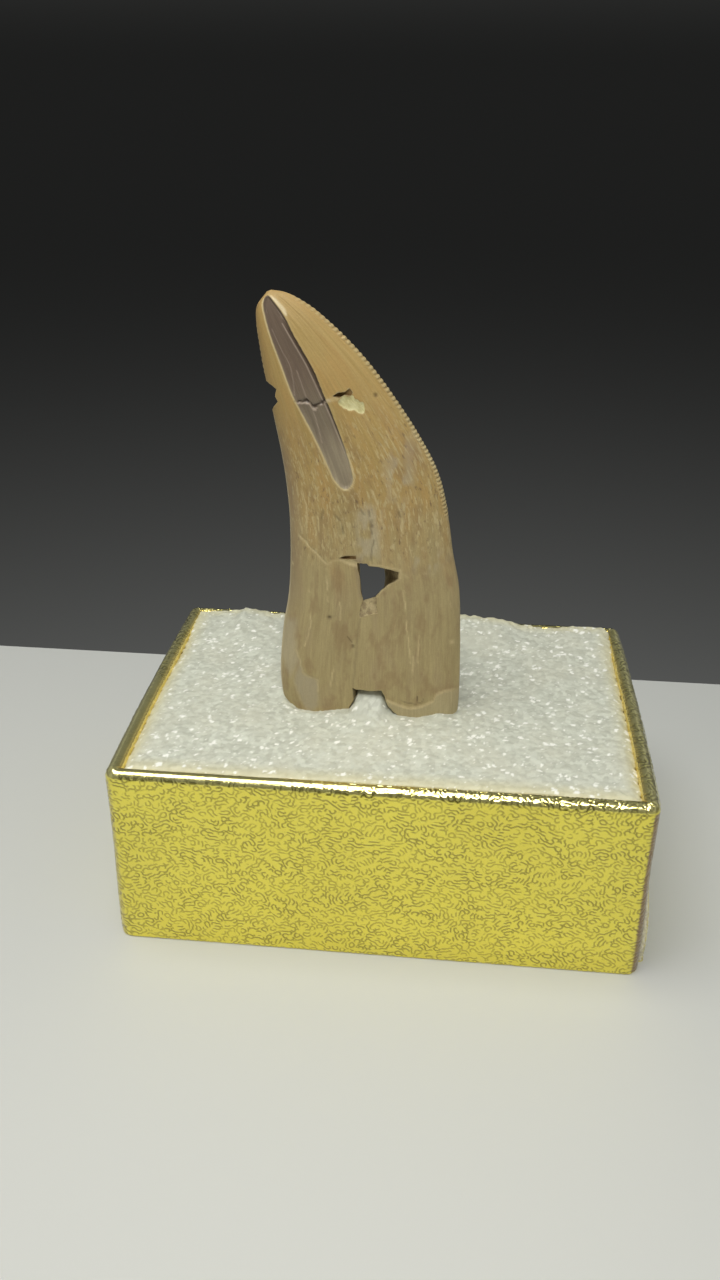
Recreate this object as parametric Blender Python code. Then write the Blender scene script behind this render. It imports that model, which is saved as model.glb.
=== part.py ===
"""Fossil theropod tooth standing in the foam of a small gold-paper gift box.

Metres, +Z up. The origin is the middle of the box's underside, +X runs to the right along
the box's long front side and +Y runs away from the viewer.
"""
import math

import bmesh
import bpy
import numpy as np
from mathutils import Matrix
from mathutils import Vector

MM = 0.001
GAP = 0.30 * MM

# Box
BOX_WIDTH = 84.2 * MM
BOX_DEPTH = 57.3 * MM
BOX_HEIGHT = 33.1 * MM
SIDE_BULGE = 0.4 * MM
CORNER_RADIUS = 1.8 * MM
PAPER_THICKNESS = 0.25 * MM
BOARD_THICKNESS = 1.0 * MM
RIM_ROUNDING = 1.3 * MM
INNER_RIM_ROUNDING = 0.5 * MM
INNER_CORNER_RADIUS = 0.3 * MM
BASE_ROUNDING = 0.5 * MM
TURN_IN_DEPTH = 16.0 * MM
WALL_THICKNESS = 2.0 * PAPER_THICKNESS + 2.0 * GAP + BOARD_THICKNESS
CORNER_STEPS = 4
SIDE_STEPS = 6

# Foam block
FOAM_CLEARANCE_LEFT = 0.4 * MM
FOAM_CLEARANCE_RIGHT = 0.5 * MM
FOAM_CLEARANCE_LONG = 0.35 * MM
FOAM_BELOW_RIM = 0.4 * MM
FOAM_EDGE_ROUNDING = 0.8 * MM
FOAM_CORNER_RADIUS = 2.0 * MM

# Tooth, in its own frame in millimetres: x across the tooth, y through it with the shown
# face at -y, z above the top of the box's rim. Each row is one cross-section: the left edge
# (x, z), the right edge (x, z), and how far the face bulges to the front and to the back.
SECTIONS = (
    (-14.1, -3.0, 14.8, -3.0, 5.0, 6.9),
    (-15.1, 1.0, 15.3, 1.0, 5.2, 7.2),
    (-15.3, 6.0, 15.3, 7.0, 5.3, 7.4),
    (-14.6, 13.4, 15.0, 15.2, 5.4, 7.5),
    (-13.45, 20.0, 14.5, 22.4, 5.4, 7.5),
    (-12.95, 26.7, 13.2, 28.6, 5.4, 7.4),
    (-12.95, 33.0, 12.2, 34.6, 5.3, 7.1),
    (-13.5, 39.0, 10.3, 41.8, 5.1, 6.7),
    (-14.1, 43.5, 7.1, 47.7, 4.8, 6.2),
    (-14.9, 48.0, 3.6, 52.8, 4.4, 5.6),
    (-15.7, 52.3, -0.6, 58.1, 3.9, 4.9),
    (-16.4, 56.2, -4.5, 62.0, 3.3, 4.1),
    (-16.95, 60.0, -8.2, 65.1, 2.7, 3.2),
    (-17.3, 63.2, -11.2, 66.9, 2.0, 2.2),
    (-17.1, 65.5, -13.0, 67.6, 1.3, 1.4),
    (-15.6, 67.5, -14.9, 67.8, 0.3, 0.3),
)
TOOTH_PLACE = (-3.4 * MM, -3.3 * MM, BOX_HEIGHT)
TOOTH_TURN = math.radians(-6.0)
SECTION_COUNT = 44
FACE_STEPS = 16
ROOT_TOP = 30.0
CROWN_START = 42.0
ROOT_EDGE_POWER = 0.84
CROWN_EDGE_POWER = 1.24
FRONT_LEFT_FULLNESS = 0.5
BACK_LEFT_FULLNESS = 0.2
ROOT_GROOVE_DEPTH = 1.1
ROOT_GROOVE_PLACE = 0.45
ROOT_GROOVE_WIDTH = 0.12
SOCKET_CLEARANCE = 0.35
SOCKET_SECTION = 1

# Wear facet near the tip: centre line (x, z) and half width
FACET = (
    (-15.1, 67.0, 0.4),
    (-14.0, 64.9, 1.6),
    (-12.5, 61.4, 1.75),
    (-10.9, 57.9, 1.85),
    (-9.3, 54.0, 2.3),
    (-7.2, 50.0, 2.4),
    (-4.6, 44.4, 1.8),
    (-3.0, 40.9, 1.1),
)
FACET_DEPTH = 0.45
FACET_EDGE_START = 1.25
FACET_EDGE_WIDTH = 0.35
FACET_SAMPLES = 60

# Breaks in the tooth, outlines in (x, z) of the tooth's frame
HOLE_FRONT = ((-1.0, 28.2), (0.7, 28.0), (2.4, 27.7), (5.6, 27.2), (5.6, 26.1), (4.2, 25.1),
              (1.8, 22.4), (0.0, 21.8), (-0.7, 25.8))
HOLE_BACK = ((-2.9, 23.6), (-1.6, 23.3), (-0.4, 22.9), (0.7, 22.0), (0.85, 19.9), (0.8, 18.0),
             (-0.6, 16.1), (-2.5, 15.2), (-2.85, 19.8))
BASE_ARCH = ((-2.4, -6.0), (-1.8, 2.2), (-2.0, 5.0), (-1.4, 4.4), (2.1, 4.7), (3.5, 2.9),
             (4.9, 1.6), (6.7, 0.2), (7.4, -6.0))
EDGE_NOTCH = ((-19.0, 54.9), (-16.0, 54.5), (-14.6, 53.9), (-14.0, 53.4), (-14.4, 52.3),
              (-13.9, 51.6), (-14.9, 50.7), (-15.4, 49.9), (-19.0, 49.7))
SMALL_PIT = ((-5.1, 53.9), (-4.3, 54.4), (-3.3, 54.4), (-2.6, 55.0), (-2.2, 54.4), (-2.5, 53.9),
             (-3.3, 54.0), (-4.1, 53.6))
SLIT = ((-4.0, 28.7), (-3.1, 29.1), (-1.4, 29.0), (-1.35, 28.5), (-3.1, 28.45))
HOLE_REACH = (-5.0, 7.8)
HALF_REACH = 15.0
PIT_BOTTOM = -2.9
SLIT_BOTTOM = -3.7


def clear_scene():
    """Take every object out of the open file."""
    for item in list(bpy.data.objects):
        bpy.data.objects.remove(item, do_unlink=True)


def make_material(name, colour, roughness, metallic):
    """A plain Principled surface with one colour."""
    material = bpy.data.materials.new(name)
    material.use_nodes = True
    shader = material.node_tree.nodes["Principled BSDF"]
    shader.inputs["Base Color"].default_value = (*colour, 1.0)
    shader.inputs["Roughness"].default_value = roughness
    shader.inputs["Metallic"].default_value = metallic
    return material


def gold_paper():
    return make_material("gold_paper", (0.60, 0.48, 0.06), 0.32, 0.9)


def grey_board():
    return make_material("grey_board", (0.34, 0.31, 0.27), 0.9, 0.0)


def pearl_foam():
    return make_material("pearl_foam", (0.66, 0.68, 0.62), 0.6, 0.0)


def fossil_enamel():
    return make_material("fossil_enamel", (0.40, 0.27, 0.13), 0.45, 0.0)


def rings_to_mesh(name, rings, close_start, close_end):
    """Skin a row of rings that all have the same number of points."""
    bm = bmesh.new()
    loops = []
    for ring in rings:
        loops.append([bm.verts.new(point) for point in ring])
    count = len(loops[0])
    for lower, upper in zip(loops, loops[1:]):
        for i in range(count):
            j = (i + 1) % count
            bm.faces.new((lower[i], lower[j], upper[j], upper[i]))
    if close_start:
        bm.faces.new(loops[0])
    if close_end:
        bm.faces.new(loops[-1])
    bmesh.ops.recalc_face_normals(bm, faces=bm.faces)
    mesh = bpy.data.meshes.new(name)
    bm.to_mesh(mesh)
    bm.free()
    return mesh


def add_object(name, mesh, material=None):
    """Put a mesh in the scene under its own name."""
    item = bpy.data.objects.new(name, mesh)
    bpy.context.collection.objects.link(item)
    if material is not None:
        mesh.materials.append(material)
    return item


def rounded_outline(offset, height):
    """The box's plan outline moved inwards by offset, with round corners and bulged ends.

    The short sides bow outwards as a parabola that is SIDE_BULGE high in the middle.
    """
    half_width = BOX_WIDTH / 2 - offset
    half_depth = BOX_DEPTH / 2 - offset
    corner = max(CORNER_RADIUS - offset, INNER_CORNER_RADIUS)
    points = []
    for quarter, (side_x, side_y) in enumerate(((1, -1), (1, 1), (-1, 1), (-1, -1))):
        centre_x = side_x * (half_width - corner)
        centre_y = side_y * (half_depth - corner)
        for step in range(CORNER_STEPS + 1):
            angle = math.radians(-90 + 90 * quarter + 90 * step / CORNER_STEPS)
            x = centre_x + corner * math.cos(angle)
            y = centre_y + corner * math.sin(angle)
            points.append((x, y))
        if quarter in (0, 2):
            for step in range(1, SIDE_STEPS):
                y = side_x * (half_depth - corner) * (2 * step / SIDE_STEPS - 1)
                points.append((side_x * half_width, y))
    outline = []
    for x, y in points:
        bow = SIDE_BULGE * (1 - (y / half_depth) ** 2) * (x / half_width) ** 5
        outline.append((x + bow, y, height))
    return outline


def build_gold_wrap():
    """Embossed paper over the outside, round the rim and down the inside of the walls."""
    rim_in = WALL_THICKNESS
    profile = [(BASE_ROUNDING, 0.0)]
    for step in range(1, 4):
        angle = math.radians(30 * step)
        profile.append((BASE_ROUNDING * (1 - math.sin(angle)),
                        BASE_ROUNDING * (1 - math.cos(angle))))
    for step in range(4):
        angle = math.radians(30 * step)
        profile.append((RIM_ROUNDING * (1 - math.cos(angle)),
                        BOX_HEIGHT - RIM_ROUNDING * (1 - math.sin(angle))))
    for step in range(3):
        angle = math.radians(45 * step)
        profile.append((rim_in - INNER_RIM_ROUNDING * (1 - math.sin(angle)),
                        BOX_HEIGHT - INNER_RIM_ROUNDING * (1 - math.cos(angle))))
    profile.append((rim_in, BOX_HEIGHT - TURN_IN_DEPTH))
    bend = PAPER_THICKNESS + (RIM_ROUNDING - PAPER_THICKNESS) * (1 - math.sqrt(0.5))
    back_of_sheet = [
        (rim_in - PAPER_THICKNESS, BOX_HEIGHT - TURN_IN_DEPTH),
        (rim_in - PAPER_THICKNESS, BOX_HEIGHT - INNER_RIM_ROUNDING),
        (rim_in - INNER_RIM_ROUNDING, BOX_HEIGHT - PAPER_THICKNESS),
        (RIM_ROUNDING, BOX_HEIGHT - PAPER_THICKNESS),
        (bend, BOX_HEIGHT - bend),
        (PAPER_THICKNESS, BOX_HEIGHT - RIM_ROUNDING),
        (PAPER_THICKNESS, BASE_ROUNDING),
        (BASE_ROUNDING, PAPER_THICKNESS),
    ]
    rings = [rounded_outline(offset, height) for offset, height in profile + back_of_sheet]
    mesh = rings_to_mesh("gold_wrap", rings, True, True)
    return add_object("gold_wrap", mesh, gold_paper())


def build_box_board():
    """The stiff grey tray inside the paper: four walls and a floor."""
    outside = PAPER_THICKNESS + GAP
    inside = outside + BOARD_THICKNESS
    floor_top = outside + BOARD_THICKNESS
    wall_top = BOX_HEIGHT - outside
    chamfer = RIM_ROUNDING - outside + GAP / 2
    profile = (
        (outside + chamfer, outside),
        (outside, outside + chamfer),
        (outside, wall_top - chamfer),
        (outside + chamfer, wall_top),
        (inside, wall_top),
        (inside, floor_top),
    )
    rings = [rounded_outline(offset, height) for offset, height in profile]
    mesh = rings_to_mesh("box_board", rings, True, True)
    return add_object("box_board", mesh, grey_board())


def spline_rows(rows, count):
    """Rows resampled evenly on a Catmull-Rom curve that passes through each given row."""
    knots = np.array(rows, dtype=float)
    padded = np.vstack((2 * knots[0] - knots[1], knots, 2 * knots[-1] - knots[-2]))
    place = np.linspace(0.0, len(knots) - 1.0, count)
    first = np.minimum(place.astype(int), len(knots) - 2)
    t = (place - first)[:, None]
    a, b, c, d = (padded[first + k] for k in range(4))
    return 0.5 * (2 * b + (c - a) * t + (2 * a - 5 * b + 4 * c - d) * t ** 2
                  + (3 * b - a - 3 * c + d) * t ** 3)


def crown_share(height):
    """0 on the root, 1 on the crown, with a smooth change between."""
    share = np.clip((height - ROOT_TOP) / (CROWN_START - ROOT_TOP), 0.0, 1.0)
    return share * share * (3 - 2 * share)


def facet_dent(x, z):
    """Depth of the wear facet at a place on the shown face, 0 outside it."""
    rows = spline_rows(FACET, FACET_SAMPLES)
    reach = np.hypot(rows[:, 0] - x, rows[:, 1] - z)
    nearest = int(np.argmin(reach))
    inside = FACET_EDGE_START - reach[nearest] / rows[nearest, 2]
    return FACET_DEPTH * np.clip(inside / FACET_EDGE_WIDTH, 0.0, 1.0)


def tooth_ring(row, grow=0.0):
    """One closed cross-section of the tooth, from a row of SECTIONS, in millimetres.

    Going round, the left edge comes first, then the back, the right edge and the shown
    face. Each face bulges as a power of a sine, fuller at the left, and the root has a
    shallow groove down the middle.
    """
    left = np.array((row[0], row[1]))
    right = np.array((row[2], row[3]))
    middle_height = (left[1] + right[1]) / 2
    crown = crown_share(middle_height)
    power = ROOT_EDGE_POWER + (CROWN_EDGE_POWER - ROOT_EDGE_POWER) * crown
    across = (right - left) / max(np.linalg.norm(right - left), 1e-9)
    points = []
    faces = ((1, row[5], BACK_LEFT_FULLNESS), (-1, row[4], FRONT_LEFT_FULLNESS))
    for side, bulge, fullness in faces:
        for step in range(FACE_STEPS):
            angle = math.pi * step / FACE_STEPS
            share = (1 - math.cos(angle)) / 2
            if side < 0:
                share = 1 - share
            swell = math.sin(angle) ** power * (1 + fullness * (0.5 - share))
            groove = math.exp(-((share - ROOT_GROOVE_PLACE) / ROOT_GROOVE_WIDTH) ** 2)
            depth = bulge * swell - (1 - crown) * ROOT_GROOVE_DEPTH * groove + grow
            x, z = left + (right - left) * share + across * grow * (2 * share - 1)
            if side < 0 and grow == 0.0:
                depth -= facet_dent(x, z) * min(1.0, bulge / 2.0) * math.sin(angle)
            points.append(Vector((x * MM, side * depth * MM, z * MM)))
    return points


def place_tooth(item):
    """Stand the tooth on the foam, turned a little to the right."""
    item.location = TOOTH_PLACE
    item.rotation_euler = (0.0, 0.0, TOOTH_TURN)
    return item


def prism(name, front, back, y_front, y_back):
    """A solid between two outlines (x, z) with the same number of points, at two depths."""
    rings = [
        [(x * MM, y_front * MM, z * MM) for x, z in front],
        [(x * MM, y_back * MM, z * MM) for x, z in back],
    ]
    return add_object(name, rings_to_mesh(name, rings, True, True))


def cut(target, cutter):
    """Subtract a hidden solid from a piece."""
    cutter.hide_render = True
    cutter.display_type = "WIRE"
    modifier = target.modifiers.new(cutter.name, "BOOLEAN")
    modifier.operation = "DIFFERENCE"
    modifier.solver = "EXACT"
    modifier.object = cutter


def build_tooth():
    """The tooth as one solid, with its hole, arch, notch, pit and slit cut out."""
    rows = spline_rows(SECTIONS, SECTION_COUNT)
    mesh = rings_to_mesh("tooth", [tooth_ring(row) for row in rows], True, True)
    tooth = place_tooth(add_object("tooth", mesh, fossil_enamel()))
    breaks = (
        prism("hole_cutter", HOLE_FRONT, HOLE_BACK, *HOLE_REACH),
        prism("arch_cutter", BASE_ARCH, BASE_ARCH, -HALF_REACH, HALF_REACH),
        prism("notch_cutter", EDGE_NOTCH, EDGE_NOTCH, -HALF_REACH, HALF_REACH),
        prism("pit_cutter", SMALL_PIT, SMALL_PIT, -HALF_REACH, PIT_BOTTOM),
        prism("slit_cutter", SLIT, SLIT, -HALF_REACH, SLIT_BOTTOM),
    )
    for cutter in breaks:
        cut(tooth, place_tooth(cutter))
    return tooth


def build_foam_insert():
    """The foam block that fills the tray, with the shallow socket that holds the root."""
    lowest = PAPER_THICKNESS + GAP + BOARD_THICKNESS + GAP
    highest = BOX_HEIGHT - FOAM_BELOW_RIM
    left = -BOX_WIDTH / 2 + WALL_THICKNESS + FOAM_CLEARANCE_LEFT
    right = BOX_WIDTH / 2 - WALL_THICKNESS - FOAM_CLEARANCE_RIGHT
    half_depth = BOX_DEPTH / 2 - WALL_THICKNESS - FOAM_CLEARANCE_LONG
    bm = bmesh.new()
    size = Vector((right - left, 2 * half_depth, highest - lowest))
    centre = Vector(((left + right) / 2, 0.0, (lowest + highest) / 2))
    fit = Matrix.Translation(centre) @ Matrix.Diagonal((*size, 1.0))
    bmesh.ops.create_cube(bm, size=1.0, matrix=fit)
    upright = [edge for edge in bm.edges if abs(edge.verts[0].co.z - edge.verts[1].co.z) > MM]
    bmesh.ops.bevel(bm, geom=upright, offset=FOAM_CORNER_RADIUS, segments=3, affect="EDGES", profile=0.5)
    rim = [edge for edge in bm.edges if min(vert.co.z for vert in edge.verts) > highest - 1e-6]
    bmesh.ops.bevel(bm, geom=rim, offset=FOAM_EDGE_ROUNDING, segments=2, affect="EDGES", profile=0.5)
    mesh = bpy.data.meshes.new("foam_insert")
    bm.to_mesh(mesh)
    bm.free()
    foam = add_object("foam_insert", mesh, pearl_foam())
    rows = spline_rows(SECTIONS, SECTION_COUNT)
    outline = tooth_ring(rows[SOCKET_SECTION], SOCKET_CLEARANCE)
    depth = (SECTIONS[0][1] - SOCKET_CLEARANCE) * MM
    rings = [[(point.x, point.y, height) for point in outline] for height in (depth, -depth)]
    socket = place_tooth(add_object("socket_cutter", rings_to_mesh("socket", rings, True, True)))
    cut(foam, socket)
    return foam


clear_scene()
build_gold_wrap()
build_box_board()
build_foam_insert()
build_tooth()
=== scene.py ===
import math

import bmesh
import bpy
import numpy as np
from mathutils import Matrix
from mathutils import Vector


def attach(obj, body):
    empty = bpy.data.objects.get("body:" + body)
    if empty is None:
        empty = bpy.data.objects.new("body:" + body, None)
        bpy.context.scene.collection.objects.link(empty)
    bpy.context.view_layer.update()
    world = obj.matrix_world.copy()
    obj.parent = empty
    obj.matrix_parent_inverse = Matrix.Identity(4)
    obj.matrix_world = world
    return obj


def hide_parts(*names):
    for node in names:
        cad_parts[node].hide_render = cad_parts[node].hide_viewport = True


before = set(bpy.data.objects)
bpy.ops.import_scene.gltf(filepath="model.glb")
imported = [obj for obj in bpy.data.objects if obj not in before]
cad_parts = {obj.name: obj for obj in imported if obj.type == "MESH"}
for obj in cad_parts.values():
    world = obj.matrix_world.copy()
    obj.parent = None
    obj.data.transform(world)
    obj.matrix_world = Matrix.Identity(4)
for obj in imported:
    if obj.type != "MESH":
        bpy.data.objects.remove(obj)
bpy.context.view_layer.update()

MM = 0.001

# Box, in millimetres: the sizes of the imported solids, with a tighter foot and rounder rim
BOX_WIDTH = 84.2
BOX_DEPTH = 57.3
BOX_HEIGHT = 33.1
SIDE_BULGE = 0.4
CORNER_RADIUS = 1.8
INNER_CORNER_RADIUS = 0.3
PAPER = 0.25
WALL = 2.1
RIM_ROUNDING = 1.3
INNER_RIM_ROUNDING = 0.75
BASE_ROUNDING = 0.3
TURN_IN_DEPTH = 16.0

# Sampling of the embossed paper
LONG_COLUMNS = 576
SHORT_COLUMNS = 384
SIDE_COLUMNS = (LONG_COLUMNS, SHORT_COLUMNS, LONG_COLUMNS, SHORT_COLUMNS)
CORNER_COLUMNS = 20
WALL_ROWS = 224
OUTER_TURN_ROWS = 12
INNER_TURN_ROWS = 5
EMBOSS_STEP = 0.14
UNDERSIDE_STEP = 0.26
EMBOSS_PERIOD = 1.2
EMBOSS_DEPTH = 0.075
EMBOSS_SHALLOWEST = 1.2
PAPER_VALUES = ("painted_crease_shading", "cut_edge", "painted_dark_reflection", "inner", "rim")
FLAP_THICKNESS = 0.16
PEEL_HEIGHT = 0.85
FOOT_LIFT = 0.005
FOOT_BORDER = 1.3
UNDERSIDE_INSET = 1.35

# Foam block
FOAM_LEFT = -39.85
FOAM_RIGHT = 39.85
FOAM_HALF_DEPTH = 26.4
FOAM_BOTTOM = 1.85
FOAM_STEP = 0.22
FOAM_CELL = 0.78
FOAM_SEEDS = 160
SOCKET_FLOOR = -3.25

# Foam heights over the rim: at places along the back edge, and across the tooth in its own
# frame, for the bank in front of the root and for the fill under its arch
BACK_EDGE = ((-40, -35, -32, -30.5, -28.5, -25, -19, 9, 12, 17, 21, 23.5, 28, 33, 38, 40),
             (0.2, 0.6, 1.1, 1.9, 1.3, 0.6, 0.5, 2.2, 2.3, 1.9, 1.4, 0.7, 0.5, 0.9, 1.0, 0.5))
ROOT_BANK = ((-15, -13, -11.5, -8.5, -5.4, -2.5, 2, 6.7, 8.8, 10.6, 12.4, 15),
             (0.9, -0.1, -0.8, -0.3, 0.4, 0.7, 0.6, 0.5, 0.25, 0.5, 0.9, 0.1))
ARCH_FILL = ((-2.6, -1.8, -1.3, 0.5, 2.9, 3.5, 4.2, 5.2, 6.2),
             (0.7, 2.2, 3.6, 4.0, 4.2, 3.2, 1.8, 0.9, 0.3))

# Tooth, in its own frame in millimetres: x across the tooth, y through it with the shown
# face at -y, z above the top of the box's rim. Each row is one cross-section: the left edge
# (x, z), the right edge (x, z), and how far the face bulges to the front and to the back.
SECTIONS = (
    (-14.1, -3.0, 14.8, -3.0, 5.0, 6.9),
    (-15.1, 1.0, 15.3, 1.0, 5.2, 7.2),
    (-15.3, 6.0, 15.3, 7.0, 5.3, 7.4),
    (-14.6, 13.4, 15.0, 15.2, 5.4, 7.5),
    (-13.45, 20.0, 14.5, 22.4, 5.4, 7.5),
    (-12.95, 26.7, 13.2, 28.6, 5.4, 7.4),
    (-12.95, 33.0, 12.2, 34.6, 5.3, 7.1),
    (-13.5, 39.0, 10.3, 41.8, 5.1, 6.7),
    (-14.1, 43.5, 7.1, 47.7, 4.8, 6.2),
    (-14.9, 48.0, 3.6, 52.8, 4.4, 5.6),
    (-15.7, 52.3, -0.6, 58.1, 3.9, 4.9),
    (-16.4, 56.2, -4.5, 62.0, 3.3, 4.1),
    (-16.95, 60.0, -8.2, 65.1, 2.7, 3.2),
    (-17.3, 63.2, -11.2, 66.9, 2.0, 2.2),
    (-17.1, 65.5, -13.0, 67.6, 1.3, 1.4),
    (-15.6, 67.5, -14.9, 67.8, 0.3, 0.3),
)
TOOTH_PLACE = (-3.4, -3.3, BOX_HEIGHT)
TOOTH_TURN = math.radians(-6.0)
TOOTH_ROWS = 348
FRONT_COLUMNS = 168
BACK_COLUMNS = 68
TOOTH_SPAN = 26.0
ROOT_LEFT = -15.0
ROOT_RIGHT = 15.2
ROOT_FRONT = 5.1
ROOT_BACK = 7.1
ROOT_TOP = 30.0
CROWN_START = 42.0
ROOT_EDGE_POWER = 0.84
CROWN_EDGE_POWER = 1.24
FRONT_FULLNESS = 0.5
BACK_FULLNESS = 0.2
GROOVE_DEPTH = 1.1
GROOVE_PLACE = 0.45
GROOVE_WIDTH = 0.12

# Marks on the shown face, outlines and lines in (x, z) of the tooth's frame
FACET = ((-15.66, 65.01), (-14.31, 61.18), (-12.86, 57.96), (-11.35, 54.18), (-10.5, 52.65),
         (-9.17, 50.44), (-7.65, 47.74), (-5.9, 44.26), (-4.71, 41.58), (-3.47, 40.15),
         (-2.51, 40.0), (-1.63, 41.26), (-2.03, 43.24), (-3.06, 46.52), (-4.3, 49.54),
         (-5.55, 52.44), (-6.67, 54.69), (-7.79, 57.33), (-9.76, 60.31), (-11.22, 62.49),
         (-12.48, 64.73), (-14.03, 66.36), (-14.93, 67.16), (-15.5, 67.12), (-15.92, 66.29))
FACET_LEFT = ((-15.92, 66.29), (-15.66, 65.01), (-14.31, 61.18), (-12.86, 57.96),
              (-11.35, 54.18), (-10.5, 52.65), (-9.17, 50.44), (-7.65, 47.74), (-5.9, 44.26),
              (-4.71, 41.58), (-3.47, 40.15), (-2.51, 40.0), (-1.63, 41.26), (-2.03, 43.24),
              (-2.7, 45.3))
CRACK_LEFT = ((-10.9, 52.84), (-10.29, 52.83), (-9.56, 52.97), (-8.96, 53.29), (-8.56, 52.95),
              (-8.46, 52.63), (-9.1, 52.77), (-10.05, 52.69))
CRACK_RIGHT = ((-8.34, 52.79), (-8.02, 52.42), (-7.3, 52.64), (-6.56, 53.12), (-6.43, 53.41),
               (-6.14, 53.26), (-6.35, 52.82), (-7.06, 52.47), (-7.73, 52.03), (-8.17, 52.13))
CRACK_LIP = ((-11.05, 52.9), (-10.29, 52.6), (-9.1, 52.77), (-8.46, 52.63), (-8.21, 52.0),
             (-7.68, 51.92), (-7.05, 52.35), (-6.35, 52.82), (-6.02, 53.3), (-5.29, 53.4),
             (-5.29, 53.15), (-6.01, 52.92), (-6.58, 52.5), (-7.34, 52.14), (-7.53, 51.49),
             (-7.93, 51.49), (-8.25, 51.87), (-8.57, 52.36), (-9.08, 52.43), (-10.21, 52.4))
FACET_LINE_A = ((-12.78, 63.52), (-10.26, 59.75), (-9.16, 58.1), (-7.59, 55.07),
                (-6.66, 53.21), (-6.24, 52.6), (-4.35, 48.51), (-2.94, 45.15), (-2.11, 42.65))
FACET_LINE_B = ((-14.37, 62.65), (-12.97, 59.97), (-11.61, 57.98), (-11.24, 56.66),
                (-10.99, 55.36), (-10.78, 53.65))
FACET_LINE_C = ((-10.52, 57.09), (-9.77, 55.33), (-9.0, 53.27), (-7.88, 51.5),
                (-6.93, 48.35), (-6.61, 46.99))
# Outline of a painted highlight along the facet's edge near the tip
GLINT = ((-15.04, 67.3), (-14.07, 67.01), (-13.14, 66.26), (-12.26, 65.44), (-12.0, 64.63),
         (-12.36, 64.57), (-12.99, 65.33), (-13.71, 66.06), (-14.35, 66.64))
PIT = ((-5.06, 53.86), (-4.32, 54.36), (-3.35, 54.42), (-2.63, 54.93), (-2.25, 54.37),
       (-2.49, 53.88), (-3.35, 54.02), (-4.08, 53.66))
PALE_PATCH = ((-4.37, 53.05), (-3.55, 53.69), (-2.13, 53.73), (-0.5, 52.85), (-0.27, 52.0),
              (-0.72, 51.26), (-2.06, 51.78), (-3.7, 52.34))
PALE_SMEAR = ((-6.02, 53.1), (-5.1, 53.45), (-4.1, 53.55))
HOLE = ((-1.05, 28.11), (0.59, 28.09), (0.88, 27.7), (2.45, 27.82), (4.54, 27.43),
        (5.57, 27.24), (5.6, 26.03), (4.21, 25.24), (2.73, 23.74), (1.85, 22.54),
        (0.61, 22.15), (0.0, 21.67), (-0.32, 22.92), (-0.69, 25.67))
HOLE_BACK = ((-3.4, 23.6), (-2.1, 23.4), (-1.6, 23.3), (-0.4, 22.9), (0.3, 22.5), (0.7, 22.0),
             (0.95, 19.9), (0.9, 18.0), (0.2, 17.0), (-0.6, 16.1), (-1.9, 15.4), (-2.9, 15.2),
             (-3.1, 17.2), (-3.3, 19.8))
HOLE_LIP = ((-0.1, 22.1), (1.85, 22.7), (2.23, 19.42), (0.93, 19.02), (-1.0, 17.9),
            (-0.75, 19.6))
HOLE_REACH = (-5.2, 7.8)
SLIT = ((-4.02, 28.7), (-3.06, 29.03), (-1.43, 29.01), (-1.34, 28.49), (-3.1, 28.5))
SLIT_LIP = ((-4.14, 28.42), (-3.09, 28.36), (-1.45, 28.21), (-1.05, 28.1), (-0.95, 27.0),
            (-2.59, 27.45))
BASE_ARCH = ((-2.61, -6.0), (-2.61, 1.04), (-1.8, 2.4), (-2.04, 4.81), (-1.45, 4.5), (0.9, 4.7),
             (3.0, 5.2), (3.59, 4.06), (4.23, 2.32), (4.9, 1.5), (5.9, 0.6), (6.4, -6.0))
EDGE_NOTCH = ((-19.0, 54.9), (-15.98, 54.5), (-14.64, 53.85), (-14.0, 53.4), (-14.4, 52.3),
              (-13.9, 51.6), (-14.85, 50.7), (-15.4, 49.9), (-19.0, 49.7))
NOTCH_SLANT = (1.5, 3.6)
DIAGONAL = ((-10.41, 31.35), (-9.5, 30.87), (-8.18, 29.62), (-7.14, 28.89), (-5.95, 27.62))
DIAGONAL_LIP = ((-5.95, 27.62), (-5.0, 28.1), (-4.1, 28.4))
EDGE_CRACK = ((5.65, 26.17), (8.61, 26.66), (11.59, 26.63), (13.3, 26.5))
TONE_LINE = ((-0.77, 18.02), (-1.18, 14.09), (-1.58, 9.45), (-1.88, 4.44))
SHORT_MARK = ((-2.7, 14.62), (-2.29, 14.02), (-1.94, 13.56))
ROOT_LINES = (
    ((-8.56, 19.52), (-8.86, 15.84), (-9.84, 12.29)),
    ((-3.85, 21.05), (-3.8, 17.79)),
    ((6.17, 23.89), (6.72, 19.04), (7.29, 13.59), (7.53, 10.57)),
    ((8.83, 15.66), (8.72, 13.15), (8.67, 10.63)),
    ((7.98, 12.04), (8.01, 7.19)),
    ((-5.86, 26.66), (-5.8, 21.03)),
    ((-4.93, 9.13), (-5.65, 5.22)),
    ((4.24, 40.2), (5.29, 36.76), (5.85, 33.29)),
    ((0.93, 40.26), (2.02, 38.03), (2.73, 34.91)),
    ((-9.98, 39.03), (-9.26, 36.6), (-9.11, 34.11)),
)
PALE_DOTS = ((13.86, 14.05, 0.35), (-1.98, 13.48, 0.22), (-12.1, 26.0, 0.25), (-9.0, 22.3, 0.20))
PATCH_EDGE = ((-11.52, 11.03), (-10.83, 9.38), (-10.29, 6.84), (-9.08, 6.31), (-7.63, 6.09),
              (-7.71, 3.86))
ASH_CORNER = ((-13.38, 15.95), (-11.41, 16.51), (-11.68, 13.15), (-11.52, 11.03), (-10.83, 9.0),
              (-12.71, 5.46), (-14.6, 8.42), (-14.8, 13.0))
MAUVE_CORNER = ((-10.83, 9.38), (-10.29, 6.84), (-7.63, 6.09), (-7.79, 1.04), (-9.56, -1.0),
                (-11.06, 1.83), (-12.1, 4.69))
SMILE = ((6.29, 3.38), (7.37, 2.92), (8.67, 2.81), (9.67, 3.18), (9.82, 3.79))
SMILE_MARK = ((8.89, 4.28), (8.82, 3.29))
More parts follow.
